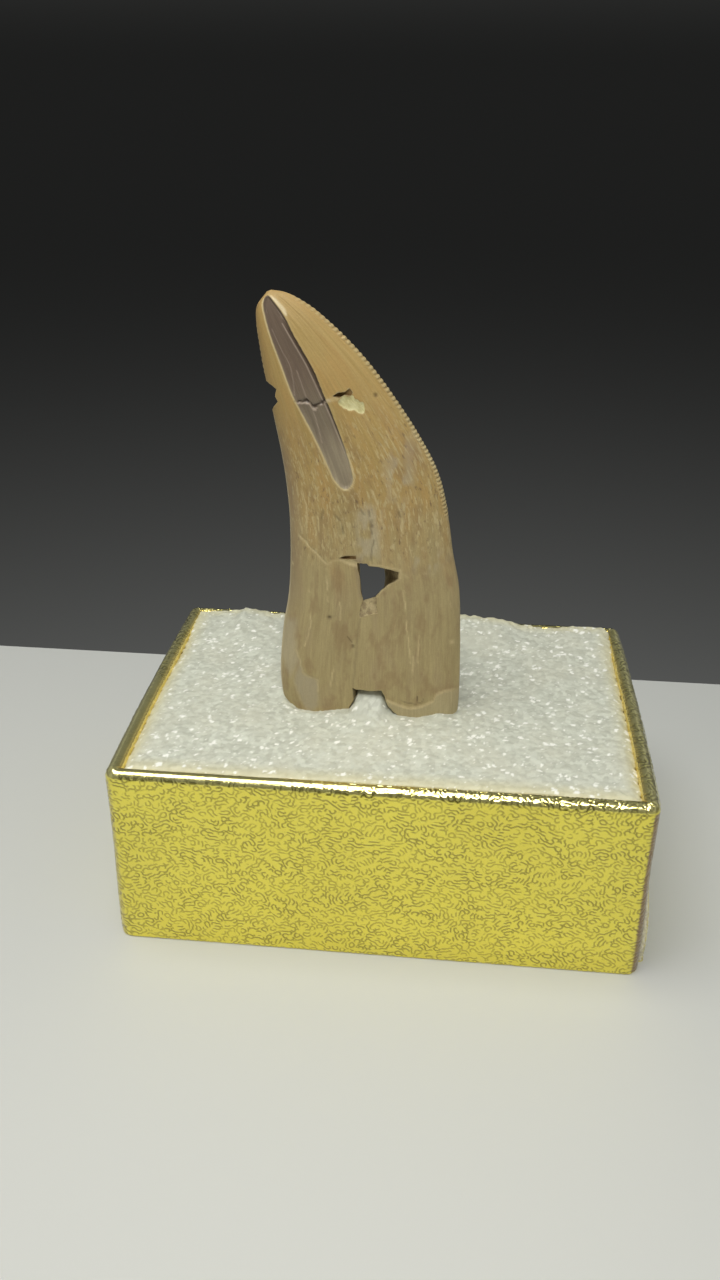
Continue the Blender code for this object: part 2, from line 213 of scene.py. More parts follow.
LIP = ((3.59, 3.7), (5.76, 2.67), (7.76, 2.01), (9.67, 2.36), (11.43, 3.32), (11.88, 4.6),
       (13.41, 5.18), (15.18, 5.08))
GREY_CENTRE = ((-1.4, 36.4), (0.8, 38.0), (2.6, 36.84), (2.4, 28.87), (-0.9, 28.4))
DARK_FLECKS = (
    ((1.0, 35.38), (0.85, 34.36), (1.13, 33.26)), ((1.45, 32.08), (1.15, 30.36), (0.88, 28.64)),
    ((-0.54, 37.06), (-0.07, 36.2)), ((0.57, 36.85), (0.82, 36.11)),
    ((-3.47, 33.93), (-3.29, 32.86)), ((-3.92, 35.03), (-4.4, 35.72)),
    ((5.04, 36.74), (5.34, 35.84)), ((-6.4, 36.5), (-6.7, 35.0)),
)
POINT_PITS = ((0.92, 53.8, 0.24), (-5.54, 18.22, 0.30), (1.16, 34.38, 0.22),
              (-1.9, 12.9, 0.25))

FACET_LINES = ((FACET_LINE_A, 0.085), (FACET_LINE_B, 0.075), (FACET_LINE_C, 0.080))

# Pale lines: each line, its half width and its strength
PALE_STROKES = ((PALE_SMEAR, 0.30, 0.5), (DIAGONAL, 0.15, 0.75), (DIAGONAL_LIP, 0.18, 0.4),
                (PATCH_EDGE, 0.16, 0.4))

# Cuts: points on each side of an outline, rings through the tooth, and depths of their ends
CUT_POINTS = 7
CUT_RINGS = 26
CUT_REACH = 15.0
HOLE_END = 12.0
PIT_BOTTOM = -2.9
SLIT_BOTTOM = -4.3

# Serrations: the distance from one to the next, their size and the strength of their painted
# highlights and shade, each at heights above the rim, and the rows and columns of one
DENTICLE_PITCH = ((34.0, 39.0, 45.0, 52.0, 62.0), (0.62, 0.65, 0.69, 0.79, 0.86))
DENTICLE_SIZE = ((30.0, 42.0, 60.0, 66.0), (0.7, 1.0, 0.8, 0.4))
DENTICLE_PAINTED_SHADING = ((30.0, 42.0, 60.0, 66.0), (0.6, 1.0, 0.75, 0.35))
DENTICLE_HEIGHT = 0.22
DENTICLE_REACH = 0.44
BEAD_ROWS = 8
BEAD_COLUMNS = 11

# Studio
FRONT_GREY = 0.19
BACK_GREY = 0.17
SIDE_GREY = 0.15
FLOOR_END = 0.065


def smooth(low, high, value):
    """0 below low, 1 above high, with the cubic step 3t^2 - 2t^3 between."""
    t = np.clip((value - low) / (high - low), 0.0, 1.0)
    return t * t * (3.0 - 2.0 * t)


def soft_noise(u, v, seed):
    """Random heights from -1 to 1 on a whole-number lattice, blended with the cubic step."""
    size = 128
    table = np.random.default_rng(seed).uniform(-1.0, 1.0, (size, size))
    iu = np.floor(u).astype(int)
    iv = np.floor(v).astype(int)
    fu = smooth(0.0, 1.0, u - iu)
    fv = smooth(0.0, 1.0, v - iv)
    low = table[iu % size, iv % size] * (1 - fu) + table[(iu + 1) % size, iv % size] * fu
    high = (table[iu % size, (iv + 1) % size] * (1 - fu)
            + table[(iu + 1) % size, (iv + 1) % size] * fu)
    return low * (1 - fv) + high * fv


def line_distance(x, z, line):
    """Distance from each place (x, z) to the nearest point of a broken line."""
    points = np.array(line, dtype=float)
    start = points[:-1]
    step = points[1:] - start
    from_x = x[..., None] - start[:, 0]
    from_z = z[..., None] - start[:, 1]
    length = (step ** 2).sum(axis=1)
    share = np.clip((from_x * step[:, 0] + from_z * step[:, 1]) / length, 0.0, 1.0)
    return np.hypot(from_x - share * step[:, 0], from_z - share * step[:, 1]).min(axis=-1)


def inside_distance(x, z, outline):
    """Distance to a closed outline, positive inside it; inside means an odd crossing count."""
    points = np.vstack((outline, outline[:1]))
    away = line_distance(x, z, points)
    x0, z0 = points[:-1].T
    x1, z1 = points[1:].T
    rise = np.where(np.abs(z1 - z0) < 1e-9, 1e-9, z1 - z0)
    spans = (z0 > z[..., None]) != (z1 > z[..., None])
    left_of = x[..., None] < x0 + (x1 - x0) * (z[..., None] - z0) / rise
    inside = (spans & left_of).sum(axis=-1) % 2 == 1
    return np.where(inside, away, -away)


def rounded(line, closed):
    """The line with its corners cut twice: points at 1/4 and 3/4 of each side replace them."""
    points = np.array(line, dtype=float)
    for _ in range(2):
        here = points if closed else points[:-1]
        after = np.roll(points, -1, axis=0) if closed else points[1:]
        between = np.stack((0.75 * here + 0.25 * after, 0.25 * here + 0.75 * after), axis=1)
        ends = (points[:0], points[:0]) if closed else (points[:1], points[-1:])
        points = np.vstack((ends[0], between.reshape(-1, 2), ends[1]))
    return points


def under_line(x, z, line):
    """How far a place lies under a line that is read as a height over x."""
    return np.interp(x, [point[0] for point in line], [point[1] for point in line]) - z


def stroke(x, z, line, half_width):
    """1 on a line, falling off as a bell of the distance over the half width."""
    return np.exp(-(line_distance(x, z, line) / half_width) ** 2)


def spot(x, z, middle_x, middle_z, radius, radius_z=None):
    """A bell round a point, 1 in its middle, with its own radius across and along."""
    radius_z = radius_z or radius
    return np.exp(-(((x - middle_x) / radius) ** 2 + ((z - middle_z) / radius_z) ** 2))


def strongest(first, *others):
    """The largest of several values at each place."""
    for other in others:
        first = np.maximum(first, other)
    return first


def weakest(first, *others):
    """The smallest of several values at each place."""
    for other in others:
        first = np.minimum(first, other)
    return first


def grid_faces(rows, columns, wrap_rows=False, wrap_columns=False):
    """Corner numbers of the quads of a grid whose point (i, j) is number i * columns + j."""
    i = np.arange(rows if wrap_rows else rows - 1)[:, None]
    j = np.arange(columns if wrap_columns else columns - 1)[None, :]
    below = i * columns
    above = ((i + 1) % rows) * columns
    right = (j + 1) % columns
    quads = np.stack((below + j, below + right, above + right, above + j), axis=-1)
    return quads.reshape(-1, 4)


def grid_border(rows, columns):
    """Point numbers once round the edge of a grid, from its first point along its first row."""
    return np.concatenate((np.arange(columns), columns * np.arange(1, rows) + columns - 1,
                           columns * (rows - 1) + np.arange(columns - 2, -1, -1),
                           columns * np.arange(rows - 2, 0, -1)))


def end_caps(count, around):
    """Point numbers of the first ring and of the last, each as a face that looks outwards."""
    return np.arange(around)[::-1], (count - 1) * around + np.arange(around)


def build_mesh(name, points, quads, caps=(), values=None):
    """A mesh in metres from points in millimetres, quads, end caps and named point values."""
    mesh = bpy.data.meshes.new(name)
    cap_corners = [np.asarray(cap, dtype=np.int64) for cap in caps]
    corners = np.concatenate([quads.ravel()] + cap_corners)
    sizes = np.concatenate([np.full(len(quads), 4), [len(cap) for cap in cap_corners]])
    starts = np.concatenate([[0], np.cumsum(sizes)[:-1]])
    mesh.vertices.add(len(points))
    mesh.vertices.foreach_set("co", (np.asarray(points) * MM).astype(np.float32).ravel())
    mesh.loops.add(len(corners))
    mesh.loops.foreach_set("vertex_index", corners.astype(np.int32))
    mesh.polygons.add(len(sizes))
    mesh.polygons.foreach_set("loop_start", starts.astype(np.int32))
    for key, value in (values or {}).items():
        layer = mesh.attributes.new(key, "FLOAT", "POINT")
        layer.data.foreach_set("value", np.asarray(value, dtype=np.float32).ravel())
    mesh.update(calc_edges=True)
    mesh.validate()
    return mesh


def new_object(name, data):
    """An object in the scene for some mesh, camera or light data."""
    made = bpy.data.objects.new(name, data)
    bpy.context.collection.objects.link(made)
    return made


def add_piece(name, mesh, material, node):
    """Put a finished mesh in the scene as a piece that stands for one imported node."""
    piece = new_object(name, mesh)
    if material is not None:
        mesh.materials.append(material)
    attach(piece, "root")
    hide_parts(node)
    return piece


def shade_smooth(mesh, sharp_angle):
    """Smooth shading with hard edges where two faces meet at more than an angle in degrees."""
    mesh.polygons.foreach_set("use_smooth", np.ones(len(mesh.polygons), dtype=bool))
    mesh.set_sharp_from_angle(angle=math.radians(sharp_angle))


# Materials


def tint(red, green, blue):
    """A display colour of 0 to 255 as linear light."""
    share = np.array((red, green, blue)) / 255.0
    linear = np.where(share <= 0.04045, share / 12.92, ((share + 0.055) / 1.055) ** 2.4)
    return (*linear.tolist(), 1.0)


class Nodes:
    """Short calls that add nodes to one node tree."""

    def __init__(self, tree):
        self.tree = tree

    def put(self, socket, value):
        if isinstance(value, bpy.types.NodeSocket):
            self.tree.links.new(value, socket)
        else:
            socket.default_value = value

    def node(self, kind, inputs, output, **settings):
        made = self.tree.nodes.new(kind)
        for key, value in settings.items():
            setattr(made, key, value)
        for key, value in inputs.items():
            self.put(made.inputs[key], value)
        return made.outputs[output]

    def maths(self, operation, first, second):
        return self.node("ShaderNodeMath", {0: first, 1: second}, "Value", operation=operation)

    def times(self, first, second):
        return self.maths("MULTIPLY", first, second)

    def step(self, value, low, high, start=0.0, end=1.0):
        """From start to end as value goes from low to high, smoothed and clamped."""
        inputs = {"Value": value, "From Min": low, "From Max": high, "To Min": start,
                  "To Max": end}
        return self.node("ShaderNodeMapRange", inputs, "Result",
                         interpolation_type="SMOOTHSTEP")

    def split(self, vector, axis):
        return self.node("ShaderNodeSeparateXYZ", {"Vector": vector}, axis)


class Finish(Nodes):
    """A Principled material, its place on Object coordinates and calls that colour it."""

    def __init__(self, name):
        self.material = bpy.data.materials.new(name)
        self.material.use_nodes = True
        super().__init__(self.material.node_tree)
        self.shader = self.tree.nodes["Principled BSDF"]
        self.place = self.node("ShaderNodeTexCoord", {}, "Object")

    def value(self, name):
        return self.node("ShaderNodeAttribute", {}, "Fac", attribute_name=name)

    def blend(self, share, first, second):
        inputs = {0: share, 6: first, 7: second}
        return self.node("ShaderNodeMix", inputs, 2, data_type="RGBA")

    def layers(self, colour, *washes):
        """The colour with each wash, a share and a colour, blended over it in turn."""
        for share, wash in washes:
            colour = self.blend(share, colour, wash)
        return colour

    def noise(self, vector, scale, detail=2.0, roughness=0.5):
        inputs = {"Vector": vector, "Scale": scale, "Detail": detail, "Roughness": roughness}
        return self.node("ShaderNodeTexNoise", inputs, "Fac", noise_dimensions="3D")

    def bump(self, height, strength, distance):
        inputs = {"Height": height, "Strength": strength, "Distance": distance}
        self.put(self.shader.inputs["Normal"], self.node("ShaderNodeBump", inputs, "Normal"))

    def surface(self, **sockets):
        for key, value in sockets.items():
            self.put(self.shader.inputs[key.replace("_", " ")], value)
        return self.material


def fossil_enamel():
    """Golden tan crown with lengthwise streaks, a duller brown root, and its marks."""
    f = Finish("fossil_enamel")
    across = f.value("across")
    along = f.value("along")
    deep = f.times(f.split(f.place, "Y"), 1.0 / MM)

    def stretched(sizes, detail, roughness):
        """Noise whose waves across, along and through the tooth each have their own size."""
        parts = [f.times(part, size) for part, size in zip((across, along, deep), sizes)]
        place = f.node("ShaderNodeCombineXYZ", dict(zip("XYZ", parts)), "Vector")
        return f.noise(place, 1.0, detail, roughness)

    wide = stretched((0.45, 0.10, 0.3), 3.0, 0.6)
    streak = stretched((1.5, 0.085, 0.5), 4.0, 0.65)
    hair = stretched((5.0, 0.28, 1.5), 3.0, 0.6)
    fleck = stretched((1.9, 0.75, 1.0), 3.0, 0.7)
    blotch = stretched((0.42, 0.16, 0.3), 3.0, 0.6)
    dash = stretched((3.0, 0.6, 1.0), 2.0, 0.5)
    grain = f.noise(f.place, 4200.0, 2.0, 0.6)

    crown = f.layers(
        tint(186, 157, 95),
        (f.step(streak, 0.34, 0.66), tint(198, 169, 108)),
        (f.step(wide, 0.42, 0.66), tint(194, 160, 98)),
        (f.step(along, 61.0, 66.5, 0.0, 0.7), tint(194, 160, 96)),
        (f.step(across, 7.5, 2.0, 0.0, 0.6), tint(178, 146, 88)))
    root = f.layers(
        tint(178, 160, 115),
        (f.step(streak, 0.30, 0.70), tint(192, 175, 128)),
        (f.step(wide, 0.48, 0.72, 0.0, 0.6), tint(180, 160, 122)))
    facet = f.value("facet")
    in_facet = f.step(facet, -0.05, 0.06)
    worn = f.layers(
        tint(122, 105, 90),
        (f.step(along, 58.0, 50.5), tint(138, 126, 106)),
        (f.step(along, 50.5, 44.5), tint(174, 161, 134)),
        (f.step(streak, 0.35, 0.65, 0.0, 0.4), tint(104, 87, 76)),
        (f.value("facet_shade"), tint(80, 63, 50)))
    cream = f.blend(f.step(fleck, 0.4, 0.6), tint(214, 204, 146), tint(228, 220, 166))

    ragged = f.maths("ADD", along, f.times(f.maths("SUBTRACT", wide, 0.5), 22.0))
    blotched = f.times(f.step(blotch, 0.50, 0.66), f.step(along, 54.0, 44.0))
    mottled = f.times(f.step(along, 26.0, 31.0), f.step(along, 55.0, 44.0))
    hair_dark = f.times(f.step(hair, 0.36, 0.66), f.step(along, 56.0, 46.0, 0.10, 0.20))
    hair_light = f.times(f.step(hair, 0.62, 0.72), f.step(along, 58.0, 46.0, 0.1, 0.35))
    colour = f.layers(
        root,
        (f.step(ragged, 22.0, 44.0), crown),
        (f.times(blotched, 0.42), tint(150, 120, 84)),
        (f.times(f.times(f.step(fleck, 0.56, 0.68), mottled), 0.55), tint(212, 194, 150)),
        (f.times(f.times(f.step(fleck, 0.42, 0.30), mottled), 0.72), tint(124, 100, 76)),
        (f.times(f.times(f.step(dash, 0.56, 0.64), mottled), 0.60), tint(218, 202, 152)),
        (f.times(f.value("ash"), f.step(hair, 0.2, 0.6, 0.55, 0.95)), tint(204, 196, 172)),
        (f.times(f.value("mauve"), f.step(streak, 0.3, 0.7, 0.45, 0.8)), tint(146, 126, 106)),
        (f.value("lip"), tint(198, 184, 144)),
        (hair_dark, tint(140, 116, 76)),
        (hair_light, tint(214, 196, 150)),
        (in_facet, worn),
        (f.value("scratch"), tint(205, 186, 168)),
        # pale marks, with painted highlights along the hole's rim and the face's edges
        (f.value("pale_marks_and_highlights"), tint(222, 204, 156)),
        (f.step(f.value("patch"), -0.06, 0.08), cream),
        # painted highlight along the facet's edge at the tip
        (f.value("white"), tint(240, 222, 180)),
        # painted highlight on the tops of the serration beads
        (f.value("bead"), tint(214, 198, 148)),
        # dark marks, with painted shade between the serration beads
        (f.value("dark_marks_and_shade"), tint(62, 47, 34)),
        (f.step(grain, 0.3, 0.7, 0.0, 0.10), tint(110, 90, 60)))

    gloss = f.step(along, 26.0, 46.0, 0.62, 0.40)
    gloss = f.maths("ADD", gloss, f.step(streak, 0.3, 0.7, -0.06, 0.08))
    gloss = f.maths("SUBTRACT", gloss, f.times(in_facet, 0.10))
    height = f.maths("ADD", f.times(hair, 0.6), f.times(fleck, 0.5))
    height = f.maths("ADD", height, f.times(grain, 0.15))
    f.bump(f.times(height, f.step(facet, -0.05, 0.06, 1.0, 0.12)), 0.35, 0.00016)
    return f.surface(Base_Color=colour, Roughness=gloss, Specular_IOR_Level=0.4)


def broken_dentine():
    """Rough dry walls where the tooth has broken away."""
    f = Finish("broken_dentine")
    lumps = f.noise(f.place, 900.0, 4.0, 0.65)
    pores = f.noise(f.place, 3200.0, 3.0, 0.6)
    colour = f.layers(tint(158, 140, 106),
                      (f.step(lumps, 0.35, 0.65), tint(200, 184, 142)),
                      (f.step(pores, 0.55, 0.7, 0.0, 0.5), tint(124, 104, 78)))
    f.bump(f.maths("ADD", lumps, f.times(pores, 0.4)), 0.6, 0.0003)
    return f.surface(Base_Color=colour, Roughness=0.82, Specular_IOR_Level=0.3)


def deep_break():
    """Dark brown inside of the small pit and the slit."""
    f = Finish("deep_break")
    lumps = f.noise(f.place, 1200.0, 3.0, 0.6)
    colour = f.blend(f.step(lumps, 0.35, 0.65), tint(112, 88, 52), tint(146, 118, 76))
    return f.surface(Base_Color=colour, Roughness=0.85, Specular_IOR_Level=0.2)


def gold_paper():
    """Lemon-gold metallised paper with embossed creases and a thin clear lacquer, its colour
    carrying painted light: shade in the creases, highlights on their ridges, a paler sheen on the
    rim, a deeper orange reflection on the turn-in and a dark reflection on the sides.
    """
    f = Finish("gold_paper")
    painted_crease_shading = f.value("painted_crease_shading")
    drift = f.noise(f.place, 55.0, 3.0, 0.5)
    speck = f.noise(f.place, 2600.0, 2.0, 0.6)
    colour = f.layers(
        (0.94, 0.81, 0.07, 1.0),
        (f.step(drift, 0.35, 0.65), (0.99, 0.86, 0.08, 1.0)),
        # painted sheen: the upward-facing rim rows are paler, which whitens their highlight
        (f.times(f.value("rim"), 0.6), (0.90, 0.86, 0.52, 1.0)),
        # painted highlight on the emboss ridges and painted shade in the creases
        (f.times(painted_crease_shading, -1.6), (1.0, 0.94, 0.16, 1.0)),
        (f.times(painted_crease_shading, 0.85), (0.27, 0.22, 0.0, 1.0)),
        # painted reflection: the turned-in inner wall is a deeper orange
        (f.times(f.value("inner"), 0.7), (0.96, 0.72, 0.14, 1.0)),
        # painted dark reflection, reddish brown, on the side faces and the front right corner
        (f.value("painted_dark_reflection"), (0.16, 0.058, 0.026, 1.0)),
        (f.value("cut_edge"), tint(226, 220, 198)))
    metal = f.maths("SUBTRACT", 1.0, f.times(f.value("cut_edge"), 0.9))
    rough = f.step(speck, 0.3, 0.7, 0.17, 0.24)
    f.bump(speck, 0.06, 0.00004)
    return f.surface(Base_Color=colour, Metallic=metal, Roughness=rough, Coat_Weight=0.7,
                     Coat_Roughness=0.10, Coat_IOR=2.0)


def grey_board():
    """Pressed grey board with short fibres."""
    f = Finish("grey_board")
    fibre = f.noise(f.place, 1800.0, 4.0, 0.7)
    cloud = f.noise(f.place, 240.0, 2.0, 0.5)
    colour = f.layers(tint(146, 138, 124),
                      (f.step(fibre, 0.35, 0.65), tint(170, 162, 148)),
                      (f.step(cloud, 0.4, 0.7, 0.0, 0.4), tint(132, 122, 108)))
    f.bump(fibre, 0.4, 0.0001)
    return f.surface(Base_Color=colour, Roughness=0.92)


def pearl_foam():
    """Milky cellular foam, with painted glints on single cells and a painted reflection of the
    gold near the walls.
    """
    f = Finish("pearl_foam")
    painted_glint = f.value("painted_glint")
    cloud = f.noise(f.place, 130.0, 3.0, 0.6)
    grain = f.noise(f.place, 2600.0, 2.0, 0.7)
    colour = f.layers(
        tint(190, 192, 177),
        (f.value("cell"), tint(215, 218, 203)),
        (f.step(cloud, 0.35, 0.7, 0.0, 0.35), tint(212, 210, 190)),
        (f.step(grain, 0.58, 0.75, 0.0, 0.25), tint(236, 238, 226)),
        # painted reflection of the gold walls: foam tinted yellow near them
        (f.times(f.value("wall"), 0.4), tint(222, 210, 150)),
        # painted glint: single cells coloured near white
        (painted_glint, tint(255, 255, 246)))
    rough = f.maths("SUBTRACT", f.step(grain, 0.3, 0.7, 0.36, 0.56), f.times(painted_glint, 0.25))
    f.bump(grain, 0.15, 0.0002)
    return f.surface(Base_Color=colour, Roughness=rough, Specular_IOR_Level=0.5)


def plain_floor():
    """Plain pale matt floor."""
    f = Finish("plain_floor")
    cloud = f.noise(f.place, 3.0, 2.0, 0.5)
    colour = f.blend(f.step(cloud, 0.3, 0.7), tint(202, 204, 201), tint(208, 209, 205))
    return f.surface(Base_Color=colour, Roughness=0.75, Specular_IOR_Level=0.25)


# Gold paper


def box_path():
    """Columns round the box: the place between corner centres and the outward direction.

    Each corner is a quarter turn of outward directions at a fixed corner centre, and each
    side runs straight from one corner centre to the next with its direction unchanged.
    """
    parts = []
    corners = np.array(((-1, -1), (1, -1), (1, 1), (-1, 1)), dtype=float)
    for quarter, count in enumerate(SIDE_COLUMNS):
        here, after = corners[quarter], corners[(quarter + 1) % 4]
        turn = 90.0 * np.arange(CORNER_COLUMNS) / CORNER_COLUMNS
        turn = np.radians(180.0 + 90.0 * quarter + turn)
        centre = np.tile(here, (CORNER_COLUMNS, 1))
        parts.append(np.column_stack((centre, np.cos(turn), np.sin(turn))))
        share = (np.arange(count) / count)[:, None]
        facing = math.radians(270.0 + 90.0 * quarter)
        parts.append(np.column_stack((here + (after - here) * share,
                                      np.full(count, math.cos(facing)),
                                      np.full(count, math.sin(facing)))))
    return np.vstack(parts)


def around_box(path, inset, height):
    """The box's outline moved inwards by inset, at a height; short sides bow as a parabola."""
    half_width = BOX_WIDTH / 2 - inset
    half_depth = BOX_DEPTH / 2 - inset
    corner = np.maximum(CORNER_RADIUS - inset, INNER_CORNER_RADIUS)
    x = path[:, 0] * (half_width - corner) + corner * path[:, 2]
    y = path[:, 1] * (half_depth - corner) + corner * path[:, 3]
    x = x + SIDE_BULGE * (1 - (y / half_depth) ** 2) * (x / half_width) ** 5
    return np.stack((x, y, np.broadcast_to(height, x.shape)), axis=-1)


def emboss_pattern(rows, columns, step, seed):
    """Creases and their relief along the lines where a banded noise changes sign.

    The noise is filtered in its spectrum by a bell round one wave per EMBOSS_PERIOD,
    stronger for waves that run up the sheet. Its value over its slope is the distance to
    the nearest such line. A second, slower noise breaks the lines into strokes, and so
    does the noise's own slope where it is too shallow to place the line. The relief
    is a bell-shaped groove on each line with a low ridge on either side of it. The painted
    crease shading is 1 in a groove, as painted shade, and -0.5 on a ridge, as a painted
    highlight.
    """
    rng = np.random.default_rng(seed)
    rise = np.fft.fftfreq(rows, d=step)[:, None]
    run = np.fft.rfftfreq(columns, d=step)[None, :]
    radius = np.hypot(rise, run)
    flatness = 0.7 + 0.3 * (rise / np.maximum(radius, 1e-6)) ** 2

    def band(period, width):
        white = np.fft.rfft2(rng.standard_normal((rows, columns)))
        kept = white * np.exp(-((radius - 1 / period) / width) ** 2) * flatness
        field = np.fft.irfft2(kept, s=(rows, columns))
        return field / field.std()

    fine = band(EMBOSS_PERIOD, 0.17)
    slope = np.hypot(*np.gradient(fine, step))
    away = np.abs(fine) / np.maximum(slope, EMBOSS_SHALLOWEST)
    breaks = band(1.8, 0.20)
    patches = band(7.0, 0.06)
    kept = smooth(-0.9, -0.2, breaks) * (0.85 + 0.15 * np.clip(patches, -1.0, 1.0))
    kept = kept * smooth(EMBOSS_SHALLOWEST, 2.8, slope)
    ridge = np.exp(-((away - 0.36) / 0.12) ** 2)
    groove = np.exp(-(away / 0.20) ** 2) - 0.40 * ridge
    return (smooth(0.27, 0.13, away) - 0.5 * ridge) * kept, groove * kept


def paper_profile():
    """Rows of the paper from foot to inner wall: inset, height, outward share, upward share.

    The wall is straight, the rim is a quarter circle outside, a flat and a quarter circle
    inside, and the turn-in is straight, with its rows closer together near the rim.
    """
    wall = np.linspace(BASE_ROUNDING, BOX_HEIGHT - RIM_ROUNDING, WALL_ROWS)
    outer = np.radians(np.linspace(0, 90, OUTER_TURN_ROWS + 1)[1:])
    flat = np.linspace(RIM_ROUNDING, WALL - INNER_RIM_ROUNDING, 3)[1:]
    inner = np.radians(np.linspace(0, 90, INNER_TURN_ROWS + 1)[1:])
    close_rows = np.arange(1, 15) * 0.19
    wide_rows = np.linspace(3.2, TURN_IN_DEPTH - INNER_RIM_ROUNDING, 8)
    down = BOX_HEIGHT - INNER_RIM_ROUNDING - np.concatenate((close_rows, wide_rows))
    return np.vstack((
        np.column_stack((0 * wall, wall, 0 * wall + 1, 0 * wall)),
        np.column_stack((RIM_ROUNDING * (1 - np.cos(outer)),
                         BOX_HEIGHT - RIM_ROUNDING * (1 - np.sin(outer)),
                         np.cos(outer), np.sin(outer))),
        np.column_stack((flat, 0 * flat + BOX_HEIGHT, 0 * flat, 0 * flat + 1)),
        np.column_stack((WALL - INNER_RIM_ROUNDING * (1 - np.sin(inner)),
                         BOX_HEIGHT - INNER_RIM_ROUNDING * (1 - np.cos(inner)),
                         -np.sin(inner), np.cos(inner))),
        np.column_stack((0 * down + WALL, down, 0 * down - 1, 0 * down))))


def corner_flap(outline, side, tall, on_short):
    """The flap on a short side, its cut edge, and how far it peels, each from 0 to 1.

    The flap starts at a wavering distance from the corner, and its edge is a bell round that
    line. It peels by a falling exponential of the distance past the line, most at the foot.
    """
    from_corner = BOX_DEPTH / 2 - CORNER_RADIUS - np.abs(outline[..., 1])
    past = from_corner - (0.9 + 0.15 * soft_noise(tall / 1.5, side / 30.0, 7))
    flap = smooth(-0.12, 0.12, past) * on_short
    edge = np.exp(-(past / 0.14) ** 2) * on_short
    peel = np.exp(-np.clip(past, 0, None) / 2.2) * smooth(20.0, 6.0, outline[..., 2])
    return flap, edge, peel


def paper_sheet():
    """The whole outside, rim and turn-in as one grid of points, with its values.

    Each point is the bowed outline at its row's inset and height, pushed in along the row's
    normal by the creases and by slow waves, and lifted where a flap of paper lies on top.
    """
    path = box_path()
    profile = paper_profile()
    rows, columns = len(profile), len(path)
    painted_crease_shading, relief = emboss_pattern(rows, columns, EMBOSS_STEP, 41)
    outline = np.stack([around_box(path, inset, height) for inset, height, _, _ in profile])
    side = np.cumsum(np.full(columns, EMBOSS_STEP))[None, :] + np.zeros((rows, 1))
    tall = (np.arange(rows) * EMBOSS_STEP)[:, None] + np.zeros((1, columns))
    height, outward, upward = profile[:, 1:].T[..., None]
    sideways = np.abs(path[:, 2])[None, :]
    wall = outward > 0.999
    rim = upward > 0.05
    front = outline[..., 1] < 0
    front_right = front & (outline[..., 0] > 0)

    calm = rim * front * smooth(8.0, -16.0, outline[..., 0]) * smooth(0.45, 0.75, upward)
    painted_crease_shading = painted_crease_shading * (1 - 0.8 * calm)
    relief = relief * (1 - 0.85 * calm)
    ripple = 0.012 * rim * soft_noise(side / 0.7, tall / 2.0, 8)
    flare = 0.08 + 0.22 * sideways + (0.40 + 0.12 * sideways) * smooth(24.0, 2.0, height)
    waves = 0.10 * soft_noise(side / 11.0, tall / 14.0, 5)
    waves = waves + 0.05 * soft_noise(side / 4.0, tall / 5.0, 6)
    on_wall = smooth(0.0, 3.0, height) * wall
    flap, edge, peel = corner_flap(outline, side, tall, (sideways > 0.999) * wall)

    depth = EMBOSS_DEPTH * (1 + 0.2 * rim) * relief - flare + ripple
    depth = depth - np.where(on_wall > 0, waves * 0.55 * on_wall, waves * 0.35)
    depth = depth - FLAP_THICKNESS * flap - PEEL_HEIGHT * peel * flap * front_right
    turned = smooth(0.45, 0.65, sideways) * wall
    # share of painted dark reflection: full at the front right corner, 0.3 on the other side
    # faces, none where a flap lies on top
    dark_reflection_share = (1 - flap) * turned * np.where(front_right, 1.0, 0.3)
    points = outline.copy()
    points[..., :2] -= (depth * outward)[..., None] * path[None, :, 2:]
    points[..., 2] -= depth * upward
    values = {"painted_crease_shading": painted_crease_shading, "cut_edge": 0.9 * edge, "painted_dark_reflection": 0.85 * dark_reflection_share,
              # painted reflection on the turn-in
              "inner": smooth(0.1, 0.7, -outward) + 0 * side,
              # painted sheen on the upward-facing rim rows
              "rim": smooth(0.1, 0.6, upward) + 0 * side}
    return path, profile, points, values


def ring_piece(name, rings, values, closed, material):
    """A solid skinned over rings of equal length; open rows of rings get a cap at each end."""
    count, around = rings.shape[:2]
    quads = grid_faces(count, around, wrap_rows=closed, wrap_columns=True)
    caps = () if closed else end_caps(count, around)
    mesh = build_mesh(name, rings.reshape(-1, 3), quads, caps, values)
    shade_smooth(mesh, 60.0)
    add_piece(name, mesh, material, "gold_wrap")


def sheet_piece(name, outer, back, values, closed, material):
    """A sheet skinned over rings of its outer face and its back; the back has no values."""
    rings = np.concatenate((outer, back), axis=1)[:, ::-1]
    kept = {}
    for key, value in values.items():
        padded = np.concatenate((value, np.zeros(back.shape[:2])), axis=1)
        kept[key] = padded[:, ::-1]
    ring_piece(name, rings, kept, closed, material)


